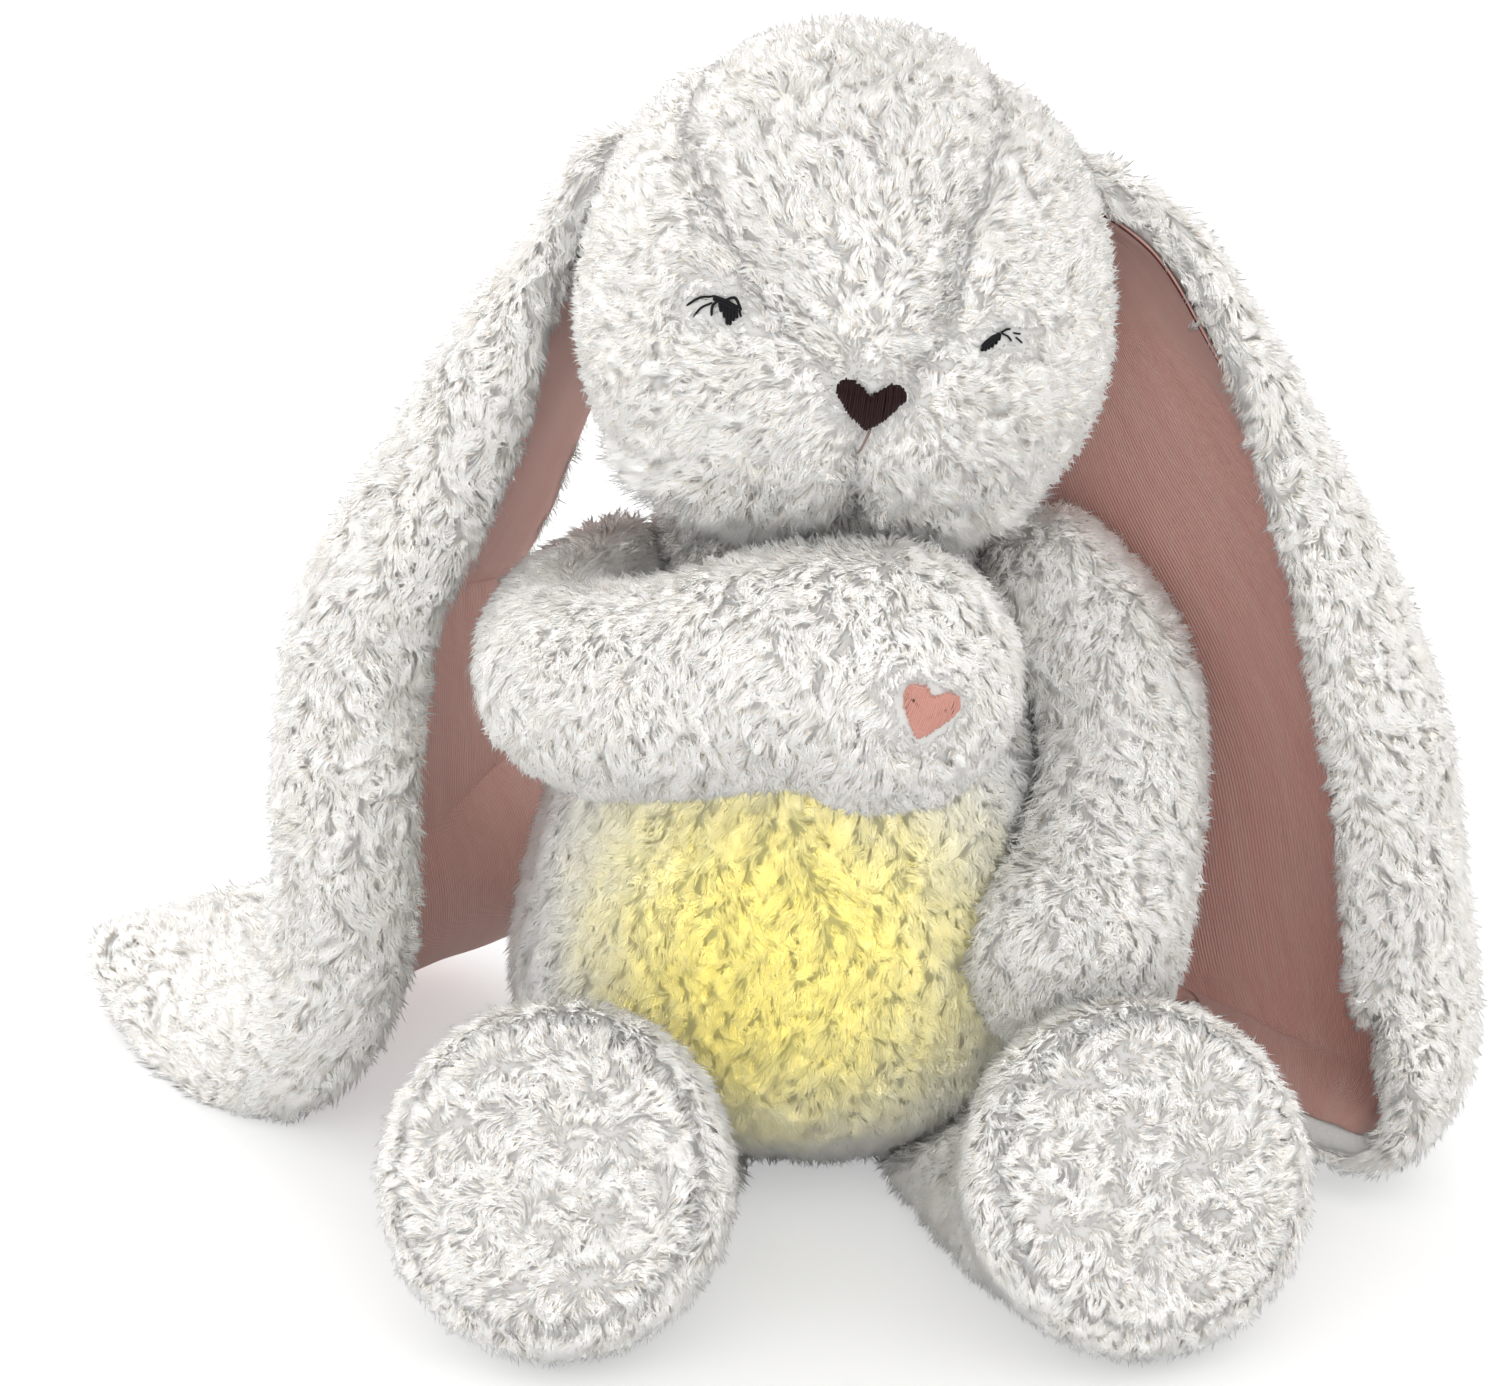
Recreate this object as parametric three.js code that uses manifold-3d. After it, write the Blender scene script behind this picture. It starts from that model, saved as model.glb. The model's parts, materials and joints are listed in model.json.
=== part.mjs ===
// A seated plush rabbit: stuffed body, head and limbs, long lined ears, and a light in a pocket in its belly.
// Lengths are millimetres. It faces -Y, +Z is up, and the origin is on the floor under its seat.
import * as THREE from 'three';
import { mergeVertices } from 'three/addons/utils/BufferGeometryUtils.js';
import Module from 'manifold-3d';

const wasm = await Module();
wasm.setup();

// Clearances
const gap = 0.3;
const swingGap = 0.7;
const overrun = 2;

// Body
const seatPanelThickness = 2.4;
const torso = { height: 184, halfWidth: 76, halfDepth: 60, rings: 14, sides: 28 };
const head = {
  halfWidth: 61, halfDepth: 60, halfHeight: 58, aboveTorso: 54, forward: 20, aside: 8,
  muzzleOut: 9, cheekOut: 10, browOut: 3, seamIn: 2.5, seamWidth: 7, gussetHalfWidth: 30,
  tilt: 7, turn: 7, rings: 15, sides: 28,
};
const tail = { radius: 15.5, rings: 7, sides: 14 };

// Limbs
const armBent = { girth: 30, reach: 100, sides: 14, steps: 11 };
const armHanging = { girth: 29, reach: 100, sides: 14, steps: 10 };
const leg = {
  girth: 43, reach: 100, splayShares: { right: 0.82, left: 1.4 }, roll: 8, sides: 18, steps: 8,
};
const sole = { crown: 5, edge: 2 };

// Ears
const ear = {
  length: 300, width: 134, thickness: 12, lining: 1.6, rollShare: 0.29, rollTurn: 160,
  cups: { right: -6, left: 18 },
  hemShare: 0.04, edgeThinShare: 0.8, along: 11, across: 6,
};

// Embroidery
const thread = 1.2;
const nose = { width: 16.5, height: 12.5 };
const eye = { width: 13, height: 6 };
const mouth = { width: 1.6, height: 8 };
const pawHeart = { width: 14, height: 12.5, lean: 12 };

// Light module, a drum that faces forwards
const drum = {
  radius: 36, dome: 11, skirt: 4, depth: 34, wall: 1.8, up: 78, forward: 47, aside: 4, bossRadius: 3.6,
  bossCircle: 27, bossDegrees: [90, -50, -130], sides: 28,
};
const board = { thickness: 1.6, radius: 31.5 };
const led = { radius: 2.5, height: 2.2, circle: 13, count: 4 };
const cell = { radius: 5.25, length: 44.5, nub: 1.9, nubLength: 0.8, pitch: 11, count: 3 };
const bay = { wall: 1.5, contactRoom: 4.4 };
const spring = { wire: 0.45, turns: 3, narrow: 1.6, wide: 3.4, length: 3.2, steps: 6, sides: 4 };
const contact = { width: 7, thickness: 0.4 };
const screw = { radius: 1.1, length: 7, head: 2.2, headHeight: 1.3, pilot: 1.5 };
const button = { radius: 4, proud: 1.2, flange: 5, flangeHeight: 1, stem: 1.5, travel: 0.6 };
const tact = { width: 6, height: 3.4, stem: 1.2, stemHeight: 0.8 };

// Pocket in the back that takes the drum
const pocket = { clearance: 0.4, padCrown: 4, flapThickness: 2.4, flapBorder: 8, flapCorner: 14 };
const strip = { width: 46, height: 4.6, thickness: 0.8, inset: 1.6 };

// Swings of the seams, in degrees
const swings = { headBack: 8, ear: 60, armBent: 18, armHanging: 30, legOut: 8, legIn: 8, flap: 110 };

// Heights up the body, with half width, half depth and forward lean there, in shares of the body's own
const torsoShares = [
  [0, 0.68, 0.64, -0.2], [0.04, 0.84, 0.8, -0.14], [0.13, 0.97, 0.96, -0.03], [0.26, 1, 1.02, 0.05],
  [0.42, 0.92, 0.96, 0.06], [0.6, 0.79, 0.85, 0.04], [0.78, 0.64, 0.7, 0.01], [0.9, 0.48, 0.54, 0],
  [0.97, 0.28, 0.32, 0], [1, 0.04, 0.05, 0],
];
// Stops along each limb, in shares of its reach from the seam, with its girth there in shares of its fullest
const armBentShares = [
  [0, 0, -0.04, 0.7], [-0.13, -0.24, -0.06, 0.77], [-0.1, -0.52, -0.05, 0.85], [0.14, -0.72, 0.04, 0.88],
  [0.4, -0.78, 0.12, 0.96], [0.6, -0.8, 0.1, 1.1],
];
const armHangingShares = [
  [0, 0, 0, 0.76], [0.16, -0.05, -0.22, 0.8], [0.17, -0.15, -0.45, 0.83], [0.12, -0.32, -0.64, 0.9],
  [0.06, -0.46, -0.76, 0.98],
];
const legShares = [
  [0, 0, -0.36, 0.6], [0.09, -0.3, -0.4, 0.6], [0.18, -0.58, -0.3, 0.68], [0.25, -0.77, -0.1, 0.9],
  [0.28, -0.93, 0, 1],
];
// Stops along the fold of each ear: outwards, forwards and up, then where the lining looks
// Outward and forward are in shares of the ear's length, up is a share of the root's height
const earRightShares = [
  [0, 0, 0, 0.35, -0.8, -0.45], [0.045, 0, -0.08, 0.5, -0.8, -0.3], [0.103, 0, -0.17, 0.85, -0.5, -0.1],
  [0.17, 0.01, -0.29, 0.88, -0.46, 0], [0.25, 0.03, -0.44, 0.88, -0.47, 0],
  [0.276, 0.04, -0.6, 0.83, -0.55, 0], [0.282, 0.035, -0.76, 0.82, -0.56, -0.1],
  [0.315, -0.02, -0.87, 0.4, -0.5, -0.6], [0.39, -0.11, -0.92, 0.1, -0.25, -0.95],
  [0.485, -0.24, -0.945, 0, -0.05, -1],
];
const earLeftShares = [
  [0, 0, 0, 0.2, -0.87, -0.45], [0.12, 0, -0.08, 0.3, -0.9, -0.3], [0.182, 0, -0.17, 0.34, -0.92, -0.1],
  [0.238, 0, -0.29, 0.38, -0.92, 0], [0.3, 0.01, -0.43, 0.38, -0.92, 0],
  [0.346, 0.02, -0.58, 0.38, -0.92, 0], [0.366, 0.025, -0.73, 0.38, -0.92, 0.05],
  [0.377, 0.045, -0.86, 0.32, -0.88, 0.3], [0.36, 0.1, -0.935, 0.2, -0.6, 0.75],
  [0.305, 0.195, -0.96, 0.1, -0.3, 0.95],
];
// Width and roll of each ear along it, in shares of its fullest, and the width that runs back to the lip
const earRightWidths = [
  [0, 0.24, 0.1, 0.03], [0.12, 0.44, 0.35, 0.03], [0.3, 0.8, 0.9, 0.03], [0.5, 1, 1, 0.05],
  [0.75, 0.97, 0.9, 0.05], [0.88, 0.86, 0.5, 0.05], [0.96, 0.62, 0.2, 0.03], [1, 0.3, 0.05, 0.03],
];
const earLeftWidths = [
  [0, 0.24, 0.1, 0], [0.12, 0.5, 0.3, 0.02], [0.3, 0.86, 0.72, 0.035], [0.5, 1, 1, 0.06],
  [0.65, 1, 1, 0.08], [0.78, 0.97, 1, 0.1], [0.88, 0.88, 0.95, 0.12], [0.96, 0.66, 0.8, 0.12],
  [1, 0.36, 0.4, 0.08],
];
// Where the swells of the head look, in shares of its half width, depth and height
const muzzleShares = [0.04, -0.92, -0.3];
const cheekShares = [0.74, -0.35, -0.6];
const browShares = [0.35, -0.6, 0.62];
// How far each swell spreads, and how the gusset's seams narrow downwards and fade out on the face
const spreadShares = { muzzle: 0.12, cheek: 0.18, brow: 0.15 };
const gussetShares = { middle: 0.75, taper: 0.35, fadeFrom: -0.1, fadeTo: 0.25 };
// Where a limb's round end has its rings, in quarter turns
const roundEndShares = [0.35, 0.7];
const rolledEndShares = [0.5, 1];
// Where the limbs, tail and ears are sewn on, in shares of the half width, depth and height that hold them
const seamShares = {
  armBent: [-0.58, -0.04, 0.815], armHanging: [0.76, -0.02, 0.8], legRight: [-0.5, -0.32],
  legLeft: [0.5, -0.3], tail: [0, 1.1, 0.087], earRight: [-0.96, 0.36, 0.4],
  earLeft: [0.74, 0.36, 0.52], neck: [0, 0, 0.95],
};
// Places on the face, in shares of the head's half width and half height
const faceShares = {
  nose: [-0.05, -0.17], eyeRight: [-0.6, 0.13], eyeLeft: [0.46, 0.07], mouth: [-0.05, -0.43],
};

const finish = (colour, roughness, metalness = 0) =>
  new THREE.MeshStandardMaterial({ color: colour, roughness, metalness });
const finishes = {
  pile: finish(0xecebe8, 0.95), lining: finish(0xb98579, 0.7), darkThread: finish(0x321919, 0.6),
  blackThread: finish(0x1a1a1c, 0.6), salmonThread: finish(0xc87873, 0.6), tape: finish(0xe2e0db, 0.9),
  milk: finish(0xfff2b0, 0.35), shell: finish(0xe9e7e1, 0.45), circuit: finish(0x1f5d3a, 0.5),
  metal: finish(0xb9bcc0, 0.35, 1), jacket: finish(0x2f6b8f, 0.4), black: finish(0x202124, 0.5),
};

const rabbit = new THREE.Group();
const up = new THREE.Vector3(0, 0, 1);
const sideways = new THREE.Vector3(1, 0, 0);

// Reads a table of shares at one place along it, on a smooth curve through its rows.
function readShares(rows, at) {
  let next = 1;
  while (next < rows.length - 1 && at > rows[next][0]) next++;
  const [low, high] = [rows[next - 1], rows[next]];
  const before = rows[next - 2] ?? low;
  const after = rows[next + 1] ?? high;
  const span = high[0] - low[0];
  const u = (at - low[0]) / span;
  return low.slice(1).map((start, k) => {
    const end = high[k + 1];
    const rise = end - start;
    const leave = ((end - before[k + 1]) * span) / (high[0] - before[0]);
    const arrive = ((after[k + 1] - start) * span) / (after[0] - low[0]);
    return start + u * (leave + u * (3 * rise - 2 * leave - arrive + u * (leave + arrive - 2 * rise)));
  });
}

const middleOf = (ring) =>
  ring.reduce((sum, point) => sum.add(point), new THREE.Vector3()).divideScalar(ring.length);

// Joins rings of points, all with one count, into a closed body that ends in a point at each end.
function closeRings(rings, first, last) {
  const sides = rings[0].length;
  const points = [first, ...rings.flat(), last];
  const faces = [];
  for (let side = 0; side < sides; side++) {
    const next = (side + 1) % sides;
    faces.push(0, 1 + next, 1 + side);
    for (let ring = 0; ring + 1 < rings.length; ring++) {
      const near = 1 + ring * sides;
      const far = near + sides;
      faces.push(near + side, near + next, far + next, near + side, far + next, far + side);
    }
    const end = 1 + (rings.length - 1) * sides;
    faces.push(points.length - 1, end + side, end + next);
  }
  const body = new THREE.BufferGeometry().setFromPoints(points);
  body.setIndex(faces);
  return signedVolume(body) < 0 ? flipFaces(body) : body;
}

function signedVolume(body) {
  const place = (corner) => new THREE.Vector3().fromBufferAttribute(body.attributes.position, corner);
  let volume = 0;
  for (let i = 0; i < body.index.count; i += 3) {
    const [a, b, c] = [0, 1, 2].map((k) => place(body.index.getX(i + k)));
    volume += a.dot(b.cross(c));
  }
  return volume;
}

function flipFaces(body) {
  const turned = [];
  for (let i = 0; i < body.index.count; i += 3) {
    turned.push(body.index.getX(i), body.index.getX(i + 2), body.index.getX(i + 1));
  }
  body.setIndex(turned);
  return body;
}

// Turns a closed geometry into a solid that can be joined and cut.
function solidOf(geometry) {
  const bare = geometry.clone();
  bare.deleteAttribute('normal');
  bare.deleteAttribute('uv');
  const welded = mergeVertices(bare, 1e-4);
  return new wasm.Manifold(new wasm.Mesh({
    numProp: 3,
    vertProperties: new Float32Array(welded.attributes.position.array),
    triVerts: new Uint32Array(welded.index.array),
  }));
}

function geometryOf(solid) {
  const mesh = solid.getMesh();
  const geometry = new THREE.BufferGeometry();
  geometry.setAttribute('position', new THREE.BufferAttribute(new Float32Array(mesh.vertProperties), 3));
  geometry.setIndex(new THREE.BufferAttribute(new Uint32Array(mesh.triVerts), 1));
  geometry.computeVertexNormals();
  return geometry;
}

const isSolid = (piece) => !(piece instanceof THREE.BufferGeometry);
const asSolid = (piece) => (isSolid(piece) ? piece : solidOf(piece));

// Cuts tools out of a piece, drops facets finer than a tolerance and keeps the largest body that is left.
function trim(piece, tools, tolerance) {
  let left = asSolid(piece);
  for (const tool of tools) left = left.subtract(asSolid(tool));
  const bodies = left.simplify(tolerance).decompose();
  return bodies.reduce((most, body) => (body.volume() > most.volume() ? body : most));
}

const cut = (piece, ...tools) => trim(piece, tools, gap / 8);
const cutSoft = (piece, ...tools) => trim(piece, tools, gap / 3);
const join = (piece, ...more) => more.reduce((sum, next) => sum.add(asSolid(next)), asSolid(piece));
const overlap = (piece, other) => asSolid(piece).intersect(asSolid(other));

// Adds a named piece to the rabbit.
function piece(name, shape, material) {
  const mesh = new THREE.Mesh(isSolid(shape) ? geometryOf(shape) : shape, material);
  mesh.name = name;
  rabbit.add(mesh);
}

// The space that a shape fills while it is turned about a hinge over its whole range, in a number of stops.
function sweep(shape, hinge, way, stops) {
  const start = isSolid(shape) ? geometryOf(shape) : shape;
  const places = Array.from({ length: stops }, (_, stop) => {
    const degrees = hinge.from + ((hinge.to - hinge.from) * stop) / (stops - 1);
    const turn = new THREE.Matrix4().makeTranslation(hinge.at)
      .multiply(new THREE.Matrix4().makeRotationAxis(hinge.axis, way * THREE.MathUtils.degToRad(degrees)))
      .multiply(new THREE.Matrix4().makeTranslation(hinge.at.clone().negate()));
    return solidOf(start.clone().applyMatrix4(turn));
  });
  return join(...places);
}

// What a piece sweeps as it swings, and what its neighbour seems to sweep when it is the other that swings.
const swung = (shape, hinge, stops = 4) => sweep(shape, hinge, 1, stops);
const sweptPast = (neighbour, hinge, stops = 4) => sweep(neighbour, hinge, -1, stops);

// Body
const base = seatPanelThickness + gap;
const onTorso = ([x, y, z]) => new THREE.Vector3(x * torso.halfWidth, y * torso.halfDepth, z * torso.height);

function torsoRing(share, grow) {
  const [wide, deep, lean] = readShares(torsoShares, share);
  const height = base + share * (torso.height - base) + grow * (2 * share - 1);
  const ring = [];
  for (let side = 0; side < torso.sides; side++) {
    const angle = (2 * Math.PI * side) / torso.sides;
    ring.push(new THREE.Vector3(
      (wide * torso.halfWidth + grow) * Math.cos(angle),
      (deep * torso.halfDepth + grow) * Math.sin(angle) - lean * torso.halfDepth,
      height,
    ));
  }
  return ring;
}

function torsoForm(grow = 0) {
  const rings = [];
  for (let ring = 0; ring <= torso.rings; ring++) {
    rings.push(torsoRing((1 - Math.cos((Math.PI * ring) / torso.rings)) / 2, grow));
  }
  return closeRings(rings, middleOf(rings[0]), middleOf(rings.at(-1)));
}

function seatPanelForm(grow = 0) {
  const outline = torsoRing(0, grow).map((point) => new THREE.Vector2(point.x, point.y));
  const depth = seatPanelThickness + grow;
  return new THREE.ExtrudeGeometry(new THREE.Shape(outline), { depth, bevelEnabled: false });
}

// Head
const headPlace = new THREE.Matrix4().makeTranslation(
  head.aside, -head.forward, torso.height + head.aboveTorso).multiply(
  new THREE.Matrix4().makeRotationFromEuler(new THREE.Euler(
    0, THREE.MathUtils.degToRad(head.tilt), THREE.MathUtils.degToRad(head.turn), 'ZYX',
  )),
);
const onHead = ([x, y, z]) =>
  new THREE.Vector3(x * head.halfWidth, y * head.halfDepth, z * head.halfHeight).applyMatrix4(headPlace);

// How far the head swells in one direction: muzzle, cheeks and brow out, gusset seams in.
function headSwell(direction) {
  const towards = (shares, mirror, size) => {
    const aim = new THREE.Vector3(shares[0] * mirror, shares[1], shares[2]).normalize();
    return Math.exp(-((1 - direction.dot(aim)) / size));
  };
  const both = (shares, size) => towards(shares, 1, size) + towards(shares, -1, size);
  const { middle, taper, fadeFrom, fadeTo } = gussetShares;
  const seamAt = head.gussetHalfWidth * (middle + taper * direction.z);
  const offSeam = (Math.abs(direction.x) * head.halfWidth - seamAt) / head.seamWidth;
  const seam = Math.exp(-(offSeam ** 2)) * THREE.MathUtils.smoothstep(direction.z, fadeFrom, fadeTo);
  return head.muzzleOut * towards(muzzleShares, 1, spreadShares.muzzle)
    + head.cheekOut * both(cheekShares, spreadShares.cheek)
    + head.browOut * both(browShares, spreadShares.brow) - head.seamIn * seam;
}

function headPoint(direction, grow) {
  const sizes = new THREE.Vector3(head.halfWidth, head.halfDepth, head.halfHeight);
  const point = direction.clone().multiply(sizes);
  return point.addScaledVector(direction, headSwell(direction) + grow).applyMatrix4(headPlace);
}

function headForm(grow = 0) {
  const rings = [];
  for (let ring = 1; ring < head.rings; ring++) {
    const polar = (Math.PI * ring) / head.rings;
    const points = [];
    for (let side = 0; side < head.sides; side++) {
      const angle = (2 * Math.PI * side) / head.sides;
      points.push(headPoint(new THREE.Vector3().setFromSphericalCoords(1, polar, angle).applyAxisAngle(
        sideways, Math.PI / 2), grow));
    }
    rings.push(points);
  }
  return closeRings(rings, headPoint(up.clone(), grow), headPoint(up.clone().negate(), grow));
}

// A stuffed limb along a curve: round at the seam, and round or flat at the far end.
function limbForm(limb, shares, root, mirror, flatEnd, grow = 0) {
  const stops = shares.map(([x, y, z]) =>
    new THREE.Vector3(x * mirror, y, z).multiplyScalar(limb.reach).add(root));
  const path = new THREE.CatmullRomCurve3(stops);
  const girths = shares.map((row, stop) => [stop / (shares.length - 1), row[3]]);
  const rings = [];
  const ringAt = (centre, along, radius) => {
    const side = new THREE.Vector3().crossVectors(along, limb.upright).normalize();
    const top = new THREE.Vector3().crossVectors(side, along);
    const ring = [];
    for (let k = 0; k < limb.sides; k++) {
      const angle = (2 * Math.PI * k) / limb.sides;
      ring.push(centre.clone().addScaledVector(side, radius * Math.cos(angle))
        .addScaledVector(top, radius * Math.sin(angle)));
    }
    rings.push(ring);
  };
  const endAt = (t, way, rolls) => {
    const radius = readShares(girths, t)[0] * limb.girth + grow;
    const roll = rolls ? limb.roll + grow : radius;
    const along = path.getTangent(t);
    const turns = rolls ? rolledEndShares : roundEndShares;
    const angles = turns.map((share) => (share * Math.PI) / 2);
    for (const angle of way < 0 ? angles.reverse() : angles) {
      const centre = path.getPoint(t).addScaledVector(along, way * roll * Math.sin(angle));
      ringAt(centre, along, radius - roll * (1 - Math.cos(angle)));
    }
    return path.getPoint(t).addScaledVector(along, way * roll);
  };
  const first = endAt(0, -1, false);
  for (let step = 0; step <= limb.steps; step++) {
    const t = step / limb.steps;
    ringAt(path.getPoint(t), path.getTangent(t), readShares(girths, t)[0] * limb.girth + grow);
  }
  const last = endAt(1, 1, flatEnd);
  return closeRings(rings, first, last);
}

armBent.upright = up;
armHanging.upright = sideways;
leg.upright = up;

const armBentForm = (grow) => limbForm(armBent, armBentShares, onTorso(seamShares.armBent), 1, false, grow);
const armHangingForm = (grow) =>
  limbForm(armHanging, armHangingShares, onTorso(seamShares.armHanging), 1, false, grow);

// The hip is set so that the foot, at the end of the leg, rests on the floor.
const legRoot = ([x, y]) => onTorso([x, y, 0]).setZ(leg.girth + gap);
const legForm = (seam, splay, grow) => limbForm(leg, legShares, legRoot(seam), splay, true, grow);

// A crowned round panel, sewn to the flat end of a foot.
function soleForm(seam, splay) {
  const stops = legShares.map(([x, y, z]) =>
    new THREE.Vector3(x * splay, y, z).multiplyScalar(leg.reach).add(legRoot(seam)));
  const path = new THREE.CatmullRomCurve3(stops);
  const radius = leg.girth - leg.roll;
  const dome = [[0, 0], [radius, 0], [radius, sole.edge]];
  for (const share of [0.75, 0.4]) {
    dome.push([radius * share, sole.edge + (sole.crown - sole.edge) * Math.sqrt(1 - share * share)]);
  }
  dome.push([0, sole.crown]);
  const along = path.getTangent(1);
  const turn = new THREE.Quaternion().setFromUnitVectors(new THREE.Vector3(0, 1, 0), along);
  const place = path.getPoint(1).addScaledVector(along, leg.roll + gap);
  return new THREE.LatheGeometry(dome.map(([x, y]) => new THREE.Vector2(x, y)), leg.sides)
    .applyMatrix4(new THREE.Matrix4().compose(place, turn, new THREE.Vector3(1, 1, 1)));
}

function ballForm(centre, radius, rings, sides) {
  return new THREE.SphereGeometry(radius, sides, rings).translate(centre.x, centre.y, centre.z);
}

// Ears
// One stop across an ear: out from its fold, forward, and the way it faces.
// From the inner edge it runs in a shallow cup, then rolls over at the fold and runs back to its lip.
function acrossEar(share, width, turn, cup, lip) {
  const roll = ear.rollShare * width;
  const flat = width - roll - lip * width;
  const rollRadius = roll / turn;
  const cupRadius = flat / cup;
  const fold = rollRadius * Math.sin(Math.min(turn, Math.PI / 2));
  const along = share * width - flat;
  if (along <= 0) {
    const angle = -along / cupRadius;
    const forward = cupRadius * (1 - Math.cos(angle));
    return { out: -cupRadius * Math.sin(angle) - fold, forward, facing: -angle };
  }
  const angle = Math.min(along / rollRadius, turn);
  const beyond = Math.max(along - roll, 0);
  return {
    out: rollRadius * Math.sin(angle) - fold + beyond * Math.cos(turn),
    forward: rollRadius * (1 - Math.cos(angle)) + beyond * Math.sin(turn),
    facing: angle,
  };
}

// Even stops across or along an ear, kept in from its edges, with the edges too if they are wanted.
function earStops(count, withEdges) {
  const inner = Array.from({ length: count + 1 }, (_, k) =>
    ear.hemShare + (1 - 2 * ear.hemShare) * (k / count));
  return withEdges ? [0, ...inner, 1] : inner;
}

// A layer of an ear between two depths, counted from the middle of the pile towards the lining.
function earLayer({ shares, widths, seam, mirror, cup }, first, second, whole) {
  const root = onHead(seam);
  const stops = shares.map(([x, y, z]) =>
    new THREE.Vector3(x * ear.length * mirror, -y * ear.length, z * root.z).add(root));
  const path = new THREE.CatmullRomCurve3(stops);
  const looks = new THREE.CatmullRomCurve3(
    shares.map((row) => new THREE.Vector3(-row[3] * mirror, row[4], row[5])));
  const across = earStops(ear.across, whole);
  const radians = THREE.MathUtils.degToRad;
  const rings = earStops(ear.along, whole).map((t) => {
    const along = path.getTangent(t);
    const out = new THREE.Vector3().crossVectors(looks.getPoint(t), along).multiplyScalar(mirror).normalize();
    const front = new THREE.Vector3().crossVectors(along, out).multiplyScalar(mirror);
    const [wide, rolled, lip] = readShares(widths, t);
    const point = (depth, share) => {
      const turn = rolled * radians(ear.rollTurn);
      const spot = acrossEar(share, wide * ear.width, turn, radians(cup), lip);
      const level = depth * (whole ? Math.sqrt(1 - ear.edgeThinShare * (2 * share - 1) ** 16) : 1);
      return path.getPoint(t)
        .addScaledVector(out, spot.out - level * Math.sin(spot.facing))
        .addScaledVector(front, spot.forward + level * Math.cos(spot.facing));
    };
    const outwards = across.map((share) => point(first, share));
    return [...outwards, ...across.toReversed().map((share) => point(second, share))];
  });
  return closeRings(rings, middleOf(rings[0]), middleOf(rings.at(-1)));
}

// The lining runs from its outside in, so that its facets lie along those of the pile under it.
const earPile = (side) => earLayer(side, -ear.thickness / 2, ear.thickness / 2, true);
const earLining = (side) =>
  earLayer(side, ear.thickness / 2 + swingGap + ear.lining, ear.thickness / 2 + swingGap, false);

// Hinges
const flapTop = drum.up + drum.radius + pocket.clearance + pocket.flapBorder;
const backAt = (height) => torsoRing((height - base) / (torso.height - base), 0)[torso.sides / 4].y;
const hinges = {
  head: { at: onTorso(seamShares.neck), axis: sideways, from: -swings.headBack, to: 0 },
  earRight: { at: onHead(seamShares.earRight), axis: new THREE.Vector3(0, 1, 0), from: 0, to: swings.ear },
  earLeft: { at: onHead(seamShares.earLeft), axis: new THREE.Vector3(0, 1, 0), from: -swings.ear, to: 0 },
  armBent: { at: onTorso(seamShares.armBent), axis: up, from: -swings.armBent, to: 0 },
  armHanging: { at: onTorso(seamShares.armHanging), axis: sideways, from: -swings.armHanging, to: 0 },
  legRight: { at: legRoot(seamShares.legRight), axis: up, from: -swings.legOut, to: swings.legIn },
  legLeft: { at: legRoot(seamShares.legLeft), axis: up, from: -swings.legIn, to: swings.legOut },
  flap: {
    at: new THREE.Vector3(-drum.aside, backAt(flapTop), flapTop), axis: sideways, from: 0, to: swings.flap,
  },
};

const floor = new THREE.BoxGeometry(ear.length * 4, ear.length * 4, ear.length)
  .translate(0, 0, gap - ear.length / 2);

const { right: rightSplay, left: leftSplay } = leg.splayShares;
const legs = [
  { name: 'right', seam: seamShares.legRight, splay: -rightSplay, hinge: hinges.legRight },
  { name: 'left', seam: seamShares.legLeft, splay: leftSplay, hinge: hinges.legLeft },
];
const ears = [
  { name: 'right', shares: earRightShares, widths: earRightWidths, seam: seamShares.earRight, mirror: -1,
    cup: ear.cups.right, hinge: hinges.earRight },
  { name: 'left', shares: earLeftShares, widths: earLeftWidths, seam: seamShares.earLeft, mirror: 1,
    cup: ear.cups.left, hinge: hinges.earLeft },
];

// Each piece is cut clear of its larger neighbours over the whole swing of both.
function plush() {
  const pile = finishes.pile;
  const nearTorso = torsoForm(swingGap);
  const nearHead = headForm(swingGap);
  const nearPanel = seatPanelForm(swingGap);
  const nearLegs = legs.map(({ seam, splay, hinge }) => swung(legForm(seam, splay, swingGap), hinge, 3));
  piece('seat_panel', seatPanelForm(), pile);
  piece('head', cutSoft(headForm(), sweptPast(nearTorso, hinges.head)), pile);
  for (const { name, seam, splay, hinge } of legs) {
    const near = sweptPast(join(nearTorso, nearPanel), hinge);
    piece(`leg_${name}`, cutSoft(legForm(seam, splay, 0), near, floor), pile);
    piece(`sole_${name}`, soleForm(seam, splay), pile);
  }
  piece('arm_right', cutSoft(armBentForm(0), sweptPast(nearTorso, hinges.armBent), nearHead), pile);
  const besideArm = sweptPast(join(nearTorso, nearLegs[1]), hinges.armHanging, 8);
  piece('arm_left', cutSoft(armHangingForm(0), besideArm, nearHead, armBentForm(swingGap)), pile);
  const nearArms = join(swung(armBentForm(swingGap), hinges.armBent, 3),
    swung(armHangingForm(2 * swingGap), hinges.armHanging, 3));
  const belowHead = sweptPast(join(nearTorso, nearArms, ...nearLegs), hinges.head, 3);
  for (const side of ears) {
    const near = [sweptPast(nearHead, side.hinge), belowHead, floor];
    piece(`ear_${side.name}`, cutSoft(earPile(side), ...near), pile);
    piece(`ear_${side.name}_lining`, cutSoft(earLining(side), ...near), finishes.lining);
  }
  const pompom = ballForm(onTorso(seamShares.tail), tail.radius, tail.rings, tail.sides);
  piece('tail', cutSoft(pompom, torsoForm(gap), floor), pile);
}

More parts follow.
